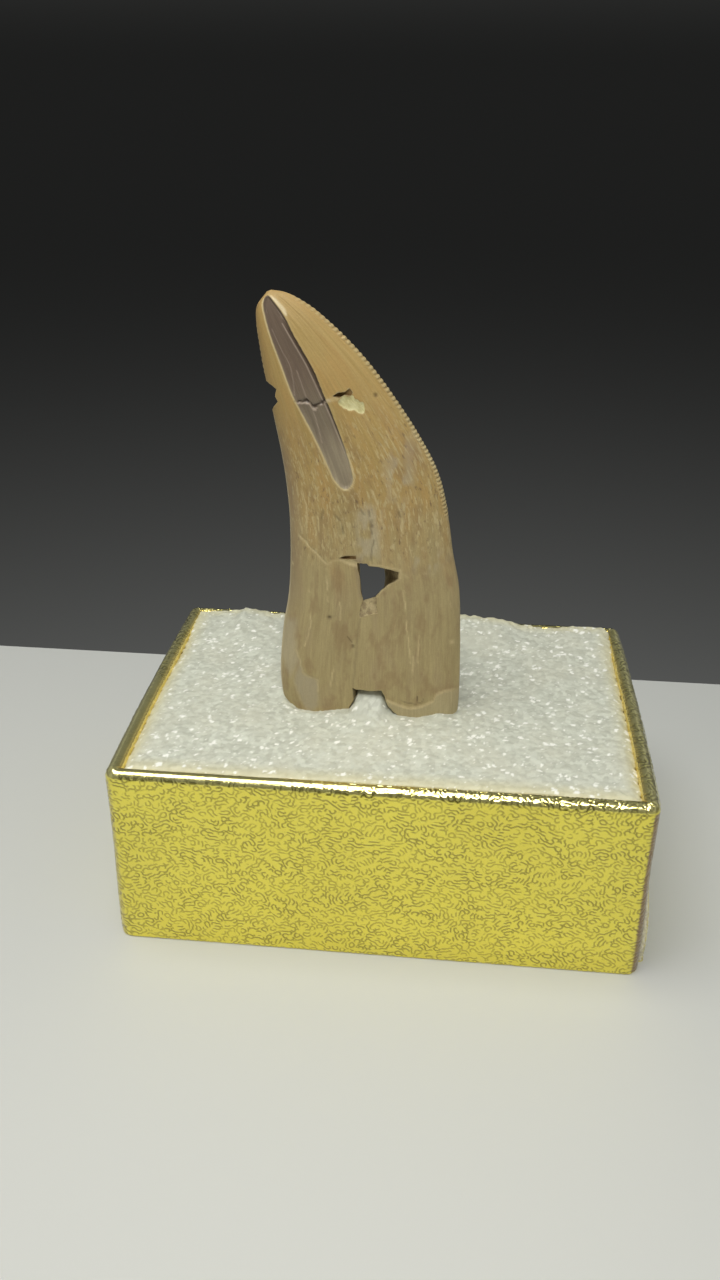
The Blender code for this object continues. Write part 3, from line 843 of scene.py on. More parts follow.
def build_gold_paper():
    """Wall sheets, the long ones in two halves, the rim with its turn-in, foot and underside."""
    material = gold_paper()
    path, profile, points, values = paper_sheet()
    sheets = []
    first = CORNER_COLUMNS // 2
    for name, count in zip(("front", "right", "back", "left"), SIDE_COLUMNS):
        last = first + count + CORNER_COLUMNS
        middle = (first + last) // 2
        if count == LONG_COLUMNS:
            sheets += [(f"paper_{name}_a", first, middle), (f"paper_{name}_b", middle, last)]
        else:
            sheets.append((f"paper_{name}", first, last))
        first = last
    wall_back = np.stack([around_box(path, PAPER, profile[row, 1])
                          for row in (WALL_ROWS - 1, 0)], axis=1)
    for name, first, last in sheets:
        chosen = np.arange(first, last + 1) % len(path)
        outer = points[:WALL_ROWS, chosen].transpose(1, 0, 2)
        kept = {key: value[:WALL_ROWS, chosen].T for key, value in values.items()}
        sheet_piece(name, outer, wall_back[chosen], kept, False, material)
    bend = PAPER + (RIM_ROUNDING - PAPER) * (1 - math.sqrt(0.5))
    rim_back = ((WALL - PAPER, BOX_HEIGHT - TURN_IN_DEPTH),
                (WALL - PAPER, BOX_HEIGHT - INNER_RIM_ROUNDING),
                (WALL - INNER_RIM_ROUNDING, BOX_HEIGHT - PAPER),
                (RIM_ROUNDING, BOX_HEIGHT - PAPER), (bend, BOX_HEIGHT - bend),
                (PAPER, BOX_HEIGHT - RIM_ROUNDING))
    back = np.stack([around_box(path, inset, height) for inset, height in rim_back], axis=1)
    kept = {key: value[WALL_ROWS - 1:].T for key, value in values.items()}
    rim = points[WALL_ROWS - 1:].transpose(1, 0, 2)
    sheet_piece("paper_rim", rim, back, kept, True, material)
    build_foot(path, points[0], material)
    build_underside(material)


def build_foot(path, lowest, material):
    """The paper's turn under the box: a quarter turn to the flat, then a narrow flat border."""
    rows = [lowest]
    for angle in np.radians((22.5, 45.0, 67.5, 90.0)):
        turned = lowest.copy()
        turned[:, :2] -= BASE_ROUNDING * (1 - math.cos(angle)) * path[:, 2:]
        turned[:, 2] = BASE_ROUNDING * (1 - math.sin(angle)) + FOOT_LIFT
        rows.append(turned)
    for inset, height in ((1.0, FOOT_LIFT), (FOOT_BORDER, FOOT_LIFT), (FOOT_BORDER, PAPER),
                          (BASE_ROUNDING, PAPER), (PAPER, BASE_ROUNDING)):
        rows.append(around_box(path, inset, height))
    rings = np.stack(rows, axis=1)
    values = {key: np.zeros(rings.shape[:2]) for key in PAPER_VALUES}
    ring_piece("paper_foot", rings, values, True, material)


def build_underside(material):
    """The flat sheet under the box, a grid whose height follows the same creases."""
    half_width = BOX_WIDTH / 2 - UNDERSIDE_INSET
    half_depth = BOX_DEPTH / 2 - UNDERSIDE_INSET
    columns = int(2 * half_width / UNDERSIDE_STEP)
    rows = int(2 * half_depth / UNDERSIDE_STEP)
    painted_crease_shading, relief = emboss_pattern(rows, columns, UNDERSIDE_STEP, 43)
    x = np.linspace(-half_width, half_width, columns)[None, :] + np.zeros((rows, 1))
    y = np.linspace(-half_depth, half_depth, rows)[:, None] + np.zeros((1, columns))
    low = np.stack((x, y, 0.03 + 0.04 * relief), axis=-1).reshape(-1, 3)
    border = grid_border(rows, columns)
    top = low[border]
    top[:, 2] = PAPER
    count, around = len(low), len(border)
    quads = grid_faces(rows, columns)[:, ::-1]
    j = np.arange(around)
    k = (j + 1) % around
    walls = np.stack((border[j], border[k], count + k, count + j), axis=-1)
    values = {key: np.zeros(count + around) for key in PAPER_VALUES}
    values["painted_crease_shading"][:count] = painted_crease_shading.ravel()
    mesh = build_mesh("paper_underside", np.vstack((low, top)), np.vstack((quads, walls)),
                      (count + j,), values)
    shade_smooth(mesh, 60.0)
    add_piece("paper_underside", mesh, material, "gold_wrap")


# Foam


def foam_level(x, y):
    """Slow height of the foam against the rim: a crown, low sides and a raised back edge."""
    level = 0.75 * (1 - (x / 40.0) ** 2) * smooth(-27.0, -12.0, y) - 0.12
    level = level - 0.6 * smooth(38.0, 39.8, np.abs(x)) * smooth(24.0, 18.0, y)
    level = level + smooth(12.0, 25.0, y) * (np.interp(x, *BACK_EDGE) - level)
    for size, height, seed in ((6.0, 0.16, 11), (2.2, 0.10, 12)):
        level = level + height * soft_noise(x / size, y / size, seed)
    return level + 0.30 * soft_noise(x / 0.9, y / 0.9, 13) * smooth(21.0, 26.0, y)


def foam_cells(x, y):
    """Nearest seed of a jittered square lattice: its number, and the offset from it."""
    rng = np.random.default_rng(17)
    jitter = rng.uniform(0.1, 0.9, (FOAM_SEEDS, FOAM_SEEDS, 2))
    column = np.floor(x / FOAM_CELL).astype(int)
    row = np.floor(y / FOAM_CELL).astype(int)
    best = np.full(x.shape, 1e9)
    seed = np.zeros(x.shape, dtype=int)
    off_x = np.zeros(x.shape)
    off_y = np.zeros(x.shape)
    for i in (-1, 0, 1):
        for j in (-1, 0, 1):
            a = (column + i) % FOAM_SEEDS
            b = (row + j) % FOAM_SEEDS
            dx = x - (column + i + jitter[a, b, 0]) * FOAM_CELL
            dy = y - (row + j + jitter[a, b, 1]) * FOAM_CELL
            away = np.hypot(dx, dy)
            nearer = away < best
            best = np.where(nearer, away, best)
            seed = np.where(nearer, a * FOAM_SEEDS + b, seed)
            off_x = np.where(nearer, dx, off_x)
            off_y = np.where(nearer, dy, off_y)
    return seed, off_x, off_y, best


def into_tooth_frame(x, y):
    """A place in the box's frame as (x, y) of the tooth's frame."""
    dx = x - TOOTH_PLACE[0]
    dy = y - TOOTH_PLACE[1]
    c, s = math.cos(-TOOTH_TURN), math.sin(-TOOTH_TURN)
    return c * dx - s * dy, s * dx + c * dy


def foam_round_root(x, y, z, facets):
    """The foam's height with a bank round the root, its socket, and the fill of the arch.

    The root's outline is its bulge times (4s(1-s))^(power/2) at each share s across. The
    foam sinks to the socket's floor by a cubic step of the depth inside that outline, and
    banks up against it in front. Under the arch it rises to ARCH_FILL instead.
    """
    tooth_x, tooth_y = into_tooth_frame(x, y)
    share = np.clip((tooth_x - ROOT_LEFT) / (ROOT_RIGHT - ROOT_LEFT), 0.0, 1.0)
    swell = (4 * share * (1 - share)) ** (ROOT_EDGE_POWER / 2)
    groove = GROOVE_DEPTH * np.exp(-((share - GROOVE_PLACE) / GROOVE_WIDTH) ** 2)
    front = ROOT_FRONT * swell * (1 + FRONT_FULLNESS * (0.5 - share))
    back = ROOT_BACK * swell * (1 + BACK_FULLNESS * (0.5 - share))
    inside = weakest(tooth_y + front - groove, back - groove - tooth_y,
                     tooth_x - ROOT_LEFT, ROOT_RIGHT - tooth_x)
    solid = 1 - smooth(-2.75, -2.45, tooth_x) * smooth(6.3, 5.8, tooth_x)
    sink = smooth(0.15, 0.75, inside) * solid
    around = smooth(-2.2, -0.2, inside) * solid
    bank = np.interp(tooth_x, *ROOT_BANK)
    z = z + around * (tooth_y < 0) * (bank - foam_level(x, y)) * 0.85
    z = z * (1 - sink) + SOCKET_FLOOR * sink
    mound = np.exp(-((tooth_x - 1.2) / 4.2) ** 2) * smooth(-12.5, -6.0, tooth_y)
    z = z + 0.7 * (mound * smooth(-3.0, -5.5, tooth_y))
    fill = np.interp(tooth_x, *ARCH_FILL) + 0.18 * soft_noise(x / 1.1, y / 1.1, 33) + facets
    arch = smooth(-3.2, -2.2, tooth_x) * smooth(6.6, 5.6, tooth_x)
    filled = arch * smooth(-8.0, -2.0, tooth_y) * smooth(10.5, 7.0, tooth_y)
    return z + filled * (fill - z)


def foam_skirt(rim):
    """Rings below the top's border down to the bottom, each drawn in a little unevenly."""
    skirt = []
    for depth in (0.5, 1.2, 2.5, 8.0, 18.0, BOX_HEIGHT - FOAM_BOTTOM):
        ring = rim.copy()
        uneven = soft_noise(np.arange(len(rim)) / 5.0, np.full(len(rim), depth), 37)
        ring[:, 0] *= 1 - 0.004 * np.abs(uneven)
        ring[:, 2] = np.maximum(rim[:, 2] - depth, FOAM_BOTTOM)
        skirt.append(ring)
    skirt[-1][:, 2] = FOAM_BOTTOM
    return skirt


def foam_glints(rng, seed, lie, off_x, off_y, x, y):
    """1 where a cell gets a painted glint, more often in slow patches, and single chips.

    A glint is the inside of a ragged ellipse of random size and lie round its cell's seed.
    """
    chance = rng.uniform(0, 1, FOAM_SEEDS ** 2)[seed]
    cluster = 0.5 + 0.5 * soft_noise(x / 7.0, y / 5.0, 51)
    size = rng.uniform(0.10, 0.46, FOAM_SEEDS ** 2)[seed]
    longways = np.cos(lie) * off_x + np.sin(lie) * off_y
    crossways = np.cos(lie) * off_y - np.sin(lie) * off_x
    ragged = np.hypot(0.7 * longways, 1.4 * crossways)
    ragged = ragged * (1 + 0.5 * soft_noise(x * 4.0, y * 4.0, 53))
    painted_glint = (chance < 0.04 + 0.14 * cluster) * smooth(size + 0.06, size - 0.06, ragged)
    return strongest(painted_glint, 0.8 * (rng.uniform(0, 1, x.shape) < 0.010))


def build_foam():
    """The foam block: a grid of tilted cell facets on the slow crown, with sides and bottom."""
    columns = int((FOAM_RIGHT - FOAM_LEFT) / FOAM_STEP)
    rows = int(2 * FOAM_HALF_DEPTH / FOAM_STEP)
    u = np.linspace(0, 1, columns)[None, :] + np.zeros((rows, 1))
    v = np.linspace(0, 1, rows)[:, None] + np.zeros((1, columns))
    x = FOAM_LEFT + (FOAM_RIGHT - FOAM_LEFT) * u
    y = FOAM_HALF_DEPTH * (2 * v - 1)
    seed, off_x, off_y, away = foam_cells(x, y)
    rng = np.random.default_rng(23)
    cells = rng.uniform(-1, 1, (FOAM_SEEDS ** 2, 4))
    height, tilt_x, tilt_y, shade = cells[seed].transpose(2, 0, 1)
    facets = 0.07 * height + 0.13 * (tilt_x * off_x + tilt_y * off_y) - 0.12 * away ** 2
    edge = weakest(x - FOAM_LEFT, FOAM_RIGHT - x, FOAM_HALF_DEPTH - np.abs(y))
    shoulder = 0.25 * (1 - smooth(0.0, 0.8, edge)) ** 2
    z = foam_level(x, y) + facets * (0.5 + 0.5 * smooth(0.0, 1.0, edge)) - shoulder
    z = foam_round_root(x, y, z, facets)
    wobble = 0.22 * soft_noise(u * 90, v * 60, 31) + 0.10 * shade
    x = x + wobble * smooth(0.9, 0.0, edge) * np.sign(x) * (np.abs(x) > np.abs(y) * 1.5)
    x = np.clip(x, FOAM_LEFT - 0.1, FOAM_RIGHT + 0.1)
    x = x + SIDE_BULGE * (1 - (y / BOX_DEPTH * 2) ** 2) * (x / FOAM_RIGHT) ** 5
    top = np.stack((x, y, z + BOX_HEIGHT), axis=-1).reshape(-1, 3)
    upper = grid_border(rows, columns)
    skirt = foam_skirt(top[upper])
    quads = [grid_faces(rows, columns)]
    j = np.arange(len(upper))
    k = (j + 1) % len(upper)
    for level in range(len(skirt)):
        lower = len(top) + level * len(upper) + j
        quads.append(np.stack((upper[k], upper[j], lower[j], lower[k]), axis=-1))
        upper = lower
    painted_glint = foam_glints(rng, seed, math.pi * height, off_x, off_y, x, y)
    pad = len(skirt) * len(upper)
    values = {"cell": np.append((shade + 1) / 2, np.full(pad, 0.4)),
              "painted_glint": np.append(painted_glint, np.zeros(pad)),
              # painted reflection of the gold walls, full on the foam's sides
              "wall": np.append(smooth(3.5, 0.0, edge), np.ones(pad))}
    mesh = build_mesh("foam_block", np.vstack([top] + skirt), np.vstack(quads),
                      (upper[::-1],), values)
    foam = add_piece("foam_block", mesh, pearl_foam(), "foam_insert")


# Tooth


def spline_at(rows, place):
    """Rows read at any place on a Catmull-Rom curve that passes through each given row."""
    knots = np.array(rows, dtype=float)
    padded = np.vstack((2 * knots[0] - knots[1], knots, 2 * knots[-1] - knots[-2]))
    first = np.clip(np.floor(place).astype(int), 0, len(knots) - 2)
    t = (place - first)[..., None]
    a, b, c, d = (padded[first + k] for k in range(4))
    return 0.5 * (2 * b + (c - a) * t + (2 * a - 5 * b + 4 * c - d) * t ** 2
                  + (3 * b - a - 3 * c + d) * t ** 3)


def tooth_face(place, share, side):
    """Points of one face of the tooth, at a place along SECTIONS and a share across it.

    The share runs on the straight line from the left edge to the right edge. The face
    stands off that line by its bulge times (4s(1-s))^(power/2), fuller at the left, less a
    bell-shaped groove down the root. side is -1 for the shown face and 1 for the back.
    """
    rows = spline_at(SECTIONS, place)
    middle = (rows[..., 1] + rows[..., 3]) / 2
    crown = smooth(ROOT_TOP, CROWN_START, middle)
    power = ROOT_EDGE_POWER + (CROWN_EDGE_POWER - ROOT_EDGE_POWER) * crown
    bulge = np.where(side < 0, rows[..., 4], rows[..., 5])
    fullness = np.where(side < 0, FRONT_FULLNESS, BACK_FULLNESS)
    arch = np.clip(4 * share * (1 - share), 0, 1)
    swell = arch ** (power / 2) * (1 + fullness * (0.5 - share))
    groove = np.exp(-((share - GROOVE_PLACE) / GROOVE_WIDTH) ** 2)
    depth = bulge * swell - (1 - crown) * GROOVE_DEPTH * groove
    x = rows[..., 0] + (rows[..., 2] - rows[..., 0]) * share
    z = rows[..., 1] + (rows[..., 3] - rows[..., 1]) * share
    return x, depth, z, middle, arch


def tooth_marks(x, z, share, middle, front):
    """Dent depth in millimetres and the colour values at each place on a face.

    Each mark is a bell or a cubic step of the distance to its line or outline, and marks of
    one colour merge by their largest value. They are on the shown face, where front is 1.
    """
    across = share * TOOTH_SPAN
    wavy = (x + 0.12 * soft_noise(x * 1.3, z * 1.3, 61) * front,
            z + 0.12 * soft_noise(x * 1.3, z * 1.3, 62) * front)
    facet = inside_distance(x + 0.03 * soft_noise(x * 2.5, z * 2.5, 63), z, rounded(FACET, True))
    patch = inside_distance(*wavy, PALE_PATCH) + 0.22 * soft_noise(x * 2.6, z * 2.6, 69)
    hole = inside_distance(x, z, HOLE)
    slit_lip = inside_distance(*wavy, SLIT_LIP)
    corner = inside_distance(*wavy, MAUVE_CORNER)
    under_lip = under_line(x, z, LIP)
    right_base = smooth(3.3, 3.9, x)
    in_facet = smooth(-0.05, 0.1, facet)
    crack = strongest(inside_distance(x, z, CRACK_LEFT), inside_distance(x, z, CRACK_RIGHT))
    in_crack = smooth(-0.07, 0.07, crack)
    crack_lip = smooth(-0.05, 0.08, inside_distance(x, z, CRACK_LIP)) * (1 - in_crack)
    line_a, line_b, line_c = (stroke(x, z, rounded(line, False), half_width)
                              for line, half_width in FACET_LINES)
    scratch = in_facet * strongest(0.60 * line_a, 0.32 * line_b, 0.40 * line_c)

    facet_rim = np.exp(-((facet + 0.10) / 0.13) ** 2)
    near_left = smooth(0.5, 0.2, line_distance(x, z, rounded(FACET_LEFT, False)))
    flecked = smooth(0.1, 0.6, soft_noise(x * 2.6, z * 2.0, 68))
    # painted highlight along the broken rim of the hole
    hole_rim_highlight = np.exp(-((hole + 0.10) / 0.15) ** 2) * (x > 0.8)
    broken = smooth(-0.8, -0.1, soft_noise(x * 0.7, z * 0.8, 64))
    pale_marks_and_highlights = strongest(
        0.75 * (facet_rim * near_left) + facet_rim * 0.18,
        *(level * stroke(*wavy, line, half_width) for line, half_width, level in PALE_STROKES),
        *(0.75 * broken * stroke(wavy[0], z, line, 0.11) for line in ROOT_LINES),
        *(0.7 * spot(*wavy, *dot) for dot in PALE_DOTS),
        0.30 * flecked * stroke(*wavy, EDGE_CRACK, 0.35),
        0.65 * smooth(-0.05, 0.1, slit_lip),
        hole_rim_highlight * np.where(z < 23.4 + 0.6 * (x - 1.6), 0.85, 0.5),
        0.35 * np.exp(-((under_lip - 0.05) / 0.14) ** 2) * right_base)
    dark_marks_and_shade = strongest(
        0.95 * in_crack,
        *(0.85 * spot(x, z, *pit) for pit in POINT_PITS),
        *(0.45 * stroke(*wavy, line, 0.17) for line in DARK_FLECKS),
        0.5 * stroke(x, z, SHORT_MARK, 0.12),
        0.5 * stroke(*wavy, SMILE, 0.09),
        0.75 * stroke(x, z, SMILE_MARK, 0.10),
        0.16 * stroke(*wavy, TONE_LINE, 0.20))
    mauve = strongest(
        0.3 * smooth(-0.5, 0.6, corner),
        0.8 * smooth(-1.1, -0.3, hole) * smooth(-0.2, -0.6, x),
        0.75 * smooth(4.0, 1.0, across) * smooth(51.0, 42.0, z) * smooth(8.0, 26.0, z),
        0.45 * spot(x, z, 6.3, 44.6, 1.9, 3.2))
    flake = soft_noise(x * 1.4, z * 0.7, 66)
    # painted highlights along the left and right edges of the face
    left_edge_highlight = np.exp(-((across - 0.30) / 0.22) ** 2) * smooth(51.0, 48.0, z)
    right_edge_highlight = np.exp(-((1 - share) * TOOTH_SPAN / 0.25) ** 2)
    low_flake = soft_noise(x * 2.4, z * 0.8, 67)
    ash = strongest(
        0.55 * smooth(-0.9, 0.9, inside_distance(*wavy, GREY_CENTRE)) * smooth(-0.7, 0.3, flake),
        0.5 * smooth(-0.8, 0.8, inside_distance(*wavy, ASH_CORNER)),
        0.55 * smooth(-0.5, 0.6, corner),
        0.6 * spot(x, z, 4.9, 42.5, 2.1, 5.0) * smooth(-0.2, 0.6, flake),
        0.5 * spot(x, z, 9.6, 28.6, 2.6, 1.8) * smooth(-0.3, 0.4, low_flake),
        0.9 * left_edge_highlight)
    line_z, line_x = np.array(FACET_LINE_A[::-1]).T[::-1]
    shade = 0.8 * in_facet * smooth(0.0, 0.25, line_distance(x, z, FACET_LINE_A))
    shade = shade * (x > np.interp(z, line_z, line_x))
    shade = shade * smooth(46.0, 50.0, z) * smooth(65.0, 62.0, z)
    # painted highlight: the strip along the facet's edge at the tip, coloured near white
    white = 0.9 * smooth(-0.12, 0.22, inside_distance(x, z, rounded(GLINT, True)))

    fine = soft_noise(across * 2.2, middle * 0.11, 71)
    fine = fine + 0.5 * soft_noise(across * 4.6, middle * 0.3, 72)
    slow = soft_noise(across * 0.35, middle * 0.13, 73)
    dent = 0.022 * fine + 0.10 * slow * smooth(0.0, 0.1, share) * smooth(1.0, 0.9, share)
    dent = dent + front * (
        0.42 * smooth(-0.02, 0.40, facet) + 0.16 * in_crack - 0.06 * crack_lip
        + 0.03 * (line_c - line_a) * in_facet + 0.20 * smooth(-0.05, 0.25, patch)
        + 0.12 * stroke(*wavy, DIAGONAL, 0.16) + 0.22 * smooth(-0.05, 0.3, slit_lip)
        + 0.10 * smooth(-0.3, 0.3, corner) - 0.22 * smooth(-0.15, 0.2, under_lip) * right_base
        + 0.22 * sum(spot(x, z, *pit) for pit in POINT_PITS))

    zone = soft_noise(x * 0.45, z * 0.28, 65)
    behind = 0.5 * (1 - front)
    values = {
        "across": across, "along": middle,
        "facet": np.where(front > 0, np.clip(facet, -2, 2), -2.0),
        "patch": np.where(front > 0, np.clip(patch, -2, 2), -2.0),
        "pale_marks_and_highlights": strongest(pale_marks_and_highlights * front, 0.55 * left_edge_highlight, 0.2 * right_edge_highlight),
        "dark_marks_and_shade": dark_marks_and_shade * front,
        "mauve": strongest(mauve * front, behind * smooth(0.0, 0.8, zone)),
        "ash": strongest(ash * front, behind * smooth(0.3, 0.9, -zone)),
        "lip": 0.75 * smooth(-0.1, 0.4, under_lip) * right_base * front,
        "facet_shade": shade * front, "white": white * front,
        "scratch": strongest(scratch, 0.80 * crack_lip) * front, "bead": share * 0,
    }
    return dent, values


def to_box_frame(points):
    """Turn and move points from the tooth's frame into the box's frame."""
    c, s = math.cos(TOOTH_TURN), math.sin(TOOTH_TURN)
    x = c * points[..., 0] - s * points[..., 1] + TOOTH_PLACE[0]
    y = s * points[..., 0] + c * points[..., 1] + TOOTH_PLACE[1]
    return np.stack((x, y, points[..., 2] + TOOTH_PLACE[2]), axis=-1)


def tooth_body():
    """The whole tooth as rings of points: left edge, back, right edge, shown face."""
    place = np.linspace(0, len(SECTIONS) - 1, TOOTH_ROWS)[:, None]
    back = np.linspace(0, 1, BACK_COLUMNS, endpoint=False)
    front = np.linspace(1, 0, FRONT_COLUMNS, endpoint=False)
    u = np.concatenate((back, front))
    side = np.repeat((1.0, -1.0), (BACK_COLUMNS, FRONT_COLUMNS))[None, :] + 0 * place
    share = (0.5 * (1 - np.cos(math.pi * u)) / 2 + 0.5 * u)[None, :] + 0 * place
    x, depth, z, middle, arch = tooth_face(place + 0 * share, share, side)
    dent, values = tooth_marks(x, z, share, middle, (side < 0).astype(float))
    dent = dent * smooth(0.0, 0.12, arch) * smooth(67.8, 66.0, middle)
    return np.stack((x, side * (depth - dent), z), axis=-1), values


def cutter(name, front, back, reach_front, reach_back, roughness, seed, inside):
    """A solid between two outlines at two depths, finely sampled and jittered in (x, z)."""
    sides = []
    for outline in (front, back):
        closed = np.array(tuple(outline) + (outline[0],), dtype=float)
        count = len(closed) - 1
        place = np.linspace(0, count, count * CUT_POINTS, endpoint=False)
        first = np.floor(place).astype(int)
        share = (place - first)[:, None]
        sides.append(closed[first] * (1 - share) + closed[first + 1] * share)
    share = np.linspace(0, 1, CUT_RINGS)[:, None]
    x = sides[0][None, :, 0] * (1 - share) + sides[1][None, :, 0] * share
    z = sides[0][None, :, 1] * (1 - share) + sides[1][None, :, 1] * share
    y = reach_front * (1 - share) + reach_back * share + 0 * x
    x = x + roughness * soft_noise(x * 1.7 + 3, y * 1.3 + z, seed)
    z = z + roughness * soft_noise(z * 1.7 + 5, y * 1.3 - x, seed + 1)
    points = to_box_frame(np.stack((x, y, z), axis=-1))
    quads = grid_faces(CUT_RINGS, x.shape[1], wrap_columns=True)
    mesh = build_mesh(name, points.reshape(-1, 3), quads, end_caps(*x.shape))
    fix_outward(mesh)
    mesh.materials.append(inside)
    return new_object(name, mesh)


def shifted(outline, way):
    """The outline moved one way along the notch's slant."""
    return tuple((x + way * NOTCH_SLANT[0], z + way * NOTCH_SLANT[1]) for x, z in outline)


def fix_outward(mesh):
    """Turn every face outwards by the sign of the volume."""
    bm = bmesh.new()
    bm.from_mesh(mesh)
    bmesh.ops.recalc_face_normals(bm, faces=bm.faces)
    bm.to_mesh(mesh)
    bm.free()


def build_tooth():
    """The tooth with its breaks cut out, as one mesh with three materials."""
    enamel, broken, deep = fossil_enamel(), broken_dentine(), deep_break()
    points, values = tooth_body()
    rows, columns = points.shape[:2]
    quads = grid_faces(rows, columns, wrap_columns=True)
    mesh = build_mesh("tooth_body", to_box_frame(points).reshape(-1, 3), quads,
                      end_caps(rows, columns), values)
    fix_outward(mesh)
    for material in (enamel, broken, deep):
        mesh.materials.append(material)
    body = new_object("tooth_body", mesh)
    near, far = HOLE_REACH
    lip_depth = [-4.9 + 2.4 * np.clip((z - 18.2) / 4.2, 0, 1) for _, z in HOLE_LIP]
    lip_depth = np.repeat(lip_depth, CUT_POINTS)
    notch = shifted(EDGE_NOTCH, 1), shifted(EDGE_NOTCH, -1)
    tools = [
        cutter("hole", HOLE, HOLE_BACK, near, far, 0.10, 81, broken),
        cutter("hole_mouth", HOLE, HOLE, -HOLE_END, near + 0.05, 0.05, 83, broken),
        cutter("hole_tail", HOLE_BACK, HOLE_BACK, far - 0.05, HOLE_END, 0.05, 85, broken),
        cutter("hole_lip", HOLE_LIP, HOLE_LIP, -HOLE_END, lip_depth, 0.05, 87, broken),
        cutter("arch", BASE_ARCH, BASE_ARCH, -CUT_REACH, CUT_REACH, 0.12, 89, broken),
        cutter("notch", *notch, -CUT_REACH, CUT_REACH, 0.06, 91, broken),
        cutter("pit", PIT, PIT, -CUT_REACH, PIT_BOTTOM, 0.04, 93, deep),
        cutter("slit", SLIT, SLIT, -CUT_REACH, SLIT_BOTTOM, 0.04, 95, deep),
    ]
    for tool in tools:
        modifier = body.modifiers.new(tool.name, "BOOLEAN")
        modifier.operation = "DIFFERENCE"
        modifier.solver = "MANIFOLD"
        modifier.material_mode = "TRANSFER"
        modifier.object = tool
    graph = bpy.context.evaluated_depsgraph_get()
    finished = bpy.data.meshes.new_from_object(body.evaluated_get(graph))
    finished.name = "tooth"
    for item in [body] + tools:
        bpy.data.objects.remove(item, do_unlink=True)
    shade_smooth(finished, 38.0)
    return finished


def saw_edge(left, first, last, height, name):
    """A strip of rounded serrations laid on the left or the right edge of the tooth.

    Rows run along the edge and columns run from one face over the edge to the other, with
    the share set by the square of the column's place. The surface is lifted along its
    normal by the root of a raised cosine, which makes one bead for each pitch.
    """
    fine = np.linspace(first, last, 4000)
    edge = spline_at(SECTIONS, fine)
    near = edge[:, :2] if left else edge[:, 2:4]
    length = np.concatenate(([0], np.cumsum(np.hypot(*np.diff(near, axis=0).T))))
    pitch = np.interp((edge[:, 1] + edge[:, 3]) / 2, *DENTICLE_PITCH)
    turns = np.concatenate(([0], np.cumsum(np.diff(length) / pitch[1:])))
    beads = int(turns[-1])
    rows = beads * BEAD_ROWS + 1
    turn = np.linspace(0, beads, rows)
    along = np.interp(turn, turns, length)
    place = np.interp(along, length, fine)[:, None]
    q = np.linspace(-1, 1, BEAD_COLUMNS)[None, :] + 0 * place
    section = spline_at(SECTIONS, place)
    width = np.hypot(section[..., 2] - section[..., 0], section[..., 3] - section[..., 1])
    inset = q ** 2 * (DENTICLE_REACH / np.maximum(width, 1.0))
    share = inset if left else 1 - inset
    side = np.where(q < 0, -1.0, 1.0)
    x, depth, z, middle, _ = tooth_face(place + 0 * q, share, side)
    surface = np.stack((x, side * depth, z), axis=-1)
    normal = np.cross(np.gradient(surface, axis=0), np.gradient(surface, axis=1))
    normal /= np.maximum(np.linalg.norm(normal, axis=-1, keepdims=True), 1e-9)
    outward_x = -1.0 if left else 1.0
    normal = normal * np.sign((normal[:, BEAD_COLUMNS // 2, 0] * outward_x).mean())
    bead = np.sqrt(0.5 - 0.5 * np.cos(2 * math.pi * turn))[:, None]
    ends = (smooth(0, 2.0, along) * smooth(0, 2.0, along[-1] - along))[:, None]
    size = 0.80 + 0.20 * soft_noise(along / 3.0, along * 0, 97)[:, None]
    size = size * np.interp(middle, *DENTICLE_SIZE)
    fade = 1 - smooth(0.35, 1.0, q ** 2)
    lift = height * bead * fade * ends * size + 0.02 * fade - 0.03
    outer = surface + normal * lift[..., None]
    inner = surface - normal * 0.28
    rings = np.concatenate((outer, inner[:, ::-1]), axis=1)
    _, values = tooth_marks(x, z, share, middle, (q < 0).astype(float))
    # Painted light on the serrations: bead tops painted pale as highlights, gaps painted dark as
    # shade
    seen = fade * ends * np.interp(middle, *DENTICLE_PAINTED_SHADING)
    values["bead"] = 0.75 * bead * seen
    values["dark_marks_and_shade"] = 0.34 * (1 - bead) * seen
    values["pale_marks_and_highlights"] = values["pale_marks_and_highlights"] * 0.5
    kept = {key: np.concatenate((value + 0 * q, (value + 0 * q)[:, ::-1]), axis=1)
            for key, value in values.items()}
    count, around = rings.shape[:2]
    mesh = build_mesh(name, to_box_frame(rings).reshape(-1, 3),
                      grid_faces(count, around, wrap_columns=True), end_caps(count, around), kept)
    fix_outward(mesh)
    shade_smooth(mesh, 75.0)
    return mesh


def join_meshes(name, meshes):
    """Several meshes as one, with the first one's materials."""
    bm = bmesh.new()
    for mesh in meshes:
        bm.from_mesh(mesh)
    joined = bpy.data.meshes.new(name)
    for material in meshes[0].materials:
        joined.materials.append(material)
    bm.to_mesh(joined)
    bm.free()
    return joined


# Camera, lights and floor


def add_camera():
    """Camera solved from the box's edges: place, 27.9 degrees down, 5.7 degrees to the left."""
    focal, height, centre_row = 1046.1, 1280, 622
    place = np.array((10.19, -155.35, 129.18)) * MM
    pitch, yaw, roll = (math.radians(angle) for angle in (27.90, -5.71, 0.21))
    ahead = Vector((math.sin(yaw) * math.cos(pitch), math.cos(yaw) * math.cos(pitch),
                    -math.sin(pitch)))
    right = Vector((math.cos(yaw), -math.sin(yaw), 0.0))
    up = right.cross(ahead)
    rolled_right = right * math.cos(roll) + up * math.sin(roll)
    rolled_up = up * math.cos(roll) - right * math.sin(roll)
    data = bpy.data.cameras.new("camera")
    data.sensor_width = 36.0
    data.lens = focal / height * data.sensor_width
    data.shift_y = (centre_row - height / 2) / height
    camera = new_object("camera", data)
    turn = Matrix((rolled_right, rolled_up, -ahead)).transposed().to_4x4()
    camera.matrix_world = Matrix.Translation(place) @ turn
    bpy.context.scene.camera = camera


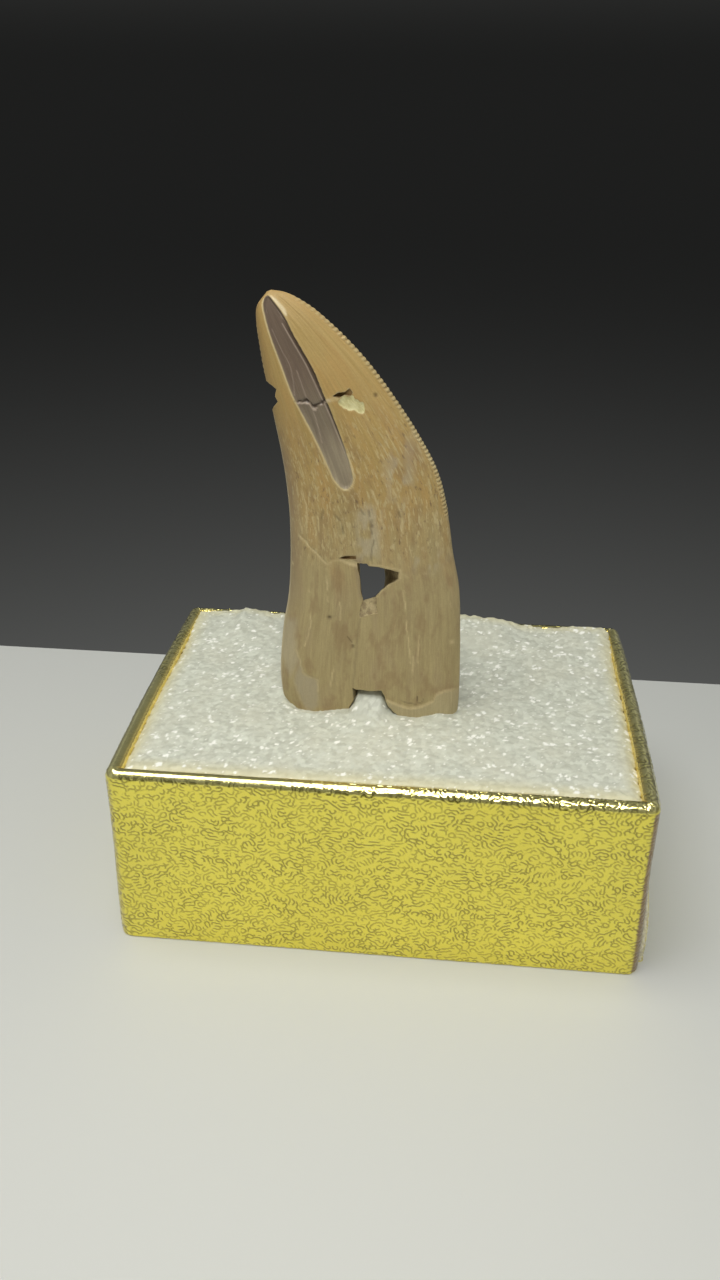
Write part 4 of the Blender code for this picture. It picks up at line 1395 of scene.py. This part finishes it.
def soft_light(name, place, aim, size, power, colour, spread):
    """A rectangular area light at a place, turned to face its aim."""
    data = bpy.data.lights.new(name, "AREA")
    data.shape = "RECTANGLE"
    data.size, data.size_y = size
    data.energy = power
    data.color = colour
    data.spread = math.radians(spread)
    lamp = new_object(name, data)
    lamp.location = place
    lamp.rotation_euler = (Vector(aim) - Vector(place)).to_track_quat("-Z", "Y").to_euler()


def surroundings():
    """Dark behind, grey in front, above and at the sides: each a smooth ramp of a direction."""
    world = bpy.data.worlds.new("surroundings")
    world.use_nodes = True
    n = Nodes(world.node_tree)
    direction = n.node("ShaderNodeTexCoord", {}, "Generated")
    x, y, z = (n.split(direction, axis) for axis in "XYZ")
    below = n.maths("MAXIMUM", n.maths("SUBTRACT", -0.12, z), 0.0)
    level = n.maths("ADD", 0.013, n.times(n.times(below, below), 0.52))
    above = n.times(n.step(z, 0.0, 0.4, 0.0, BACK_GREY), n.step(y, -0.15, 0.2))
    for glow in (above, n.step(y, 0.15, -0.45, 0.0, FRONT_GREY),
                 n.step(x, 0.27, 0.42, 0.0, SIDE_GREY), n.step(x, -0.43, -0.56, 0.0, SIDE_GREY)):
        level = n.maths("ADD", level, glow)
    shader = n.tree.nodes["Background"]
    n.put(shader.inputs["Strength"], level)
    n.put(shader.inputs["Color"], (0.98, 1.0, 0.96, 1.0))
    return world


def add_studio():
    """Plain floor, plain surroundings and soft lights above and in front."""
    bpy.context.scene.world = surroundings()
    bpy.context.scene.view_settings.view_transform = "Standard"
    mesh = bpy.data.meshes.new("floor")
    corners = [(-3, -3, 0), (3, -3, 0), (3, FLOOR_END, 0), (-3, FLOOR_END, 0)]
    mesh.from_pydata(corners, [], [(0, 1, 2, 3)])
    mesh.materials.append(plain_floor())
    floor = new_object("floor", mesh)
    soft_light("key", (-0.115, -0.07, 0.50), (-0.115, -0.07, 0.0), (0.30, 0.27), 1.28,
               (1.0, 0.99, 0.95), 180)
    soft_light("front", (0.03, -0.35, 0.55), (0.0, -0.10, 0.0), (0.20, 0.14), 0.135,
               (1.0, 0.99, 0.96), 50)


add_camera()
add_studio()
build_gold_paper()
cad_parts["box_board"].data.materials.clear()
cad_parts["box_board"].data.materials.append(grey_board())
build_foam()
whole = join_meshes("tooth", [
    build_tooth(),
    saw_edge(False, 5.9, 14.1, DENTICLE_HEIGHT, "saw_right"),
    saw_edge(True, 10.6, 13.4, DENTICLE_HEIGHT * 0.45, "saw_left"),
])
add_piece("fossil_tooth", whole, None, "tooth")
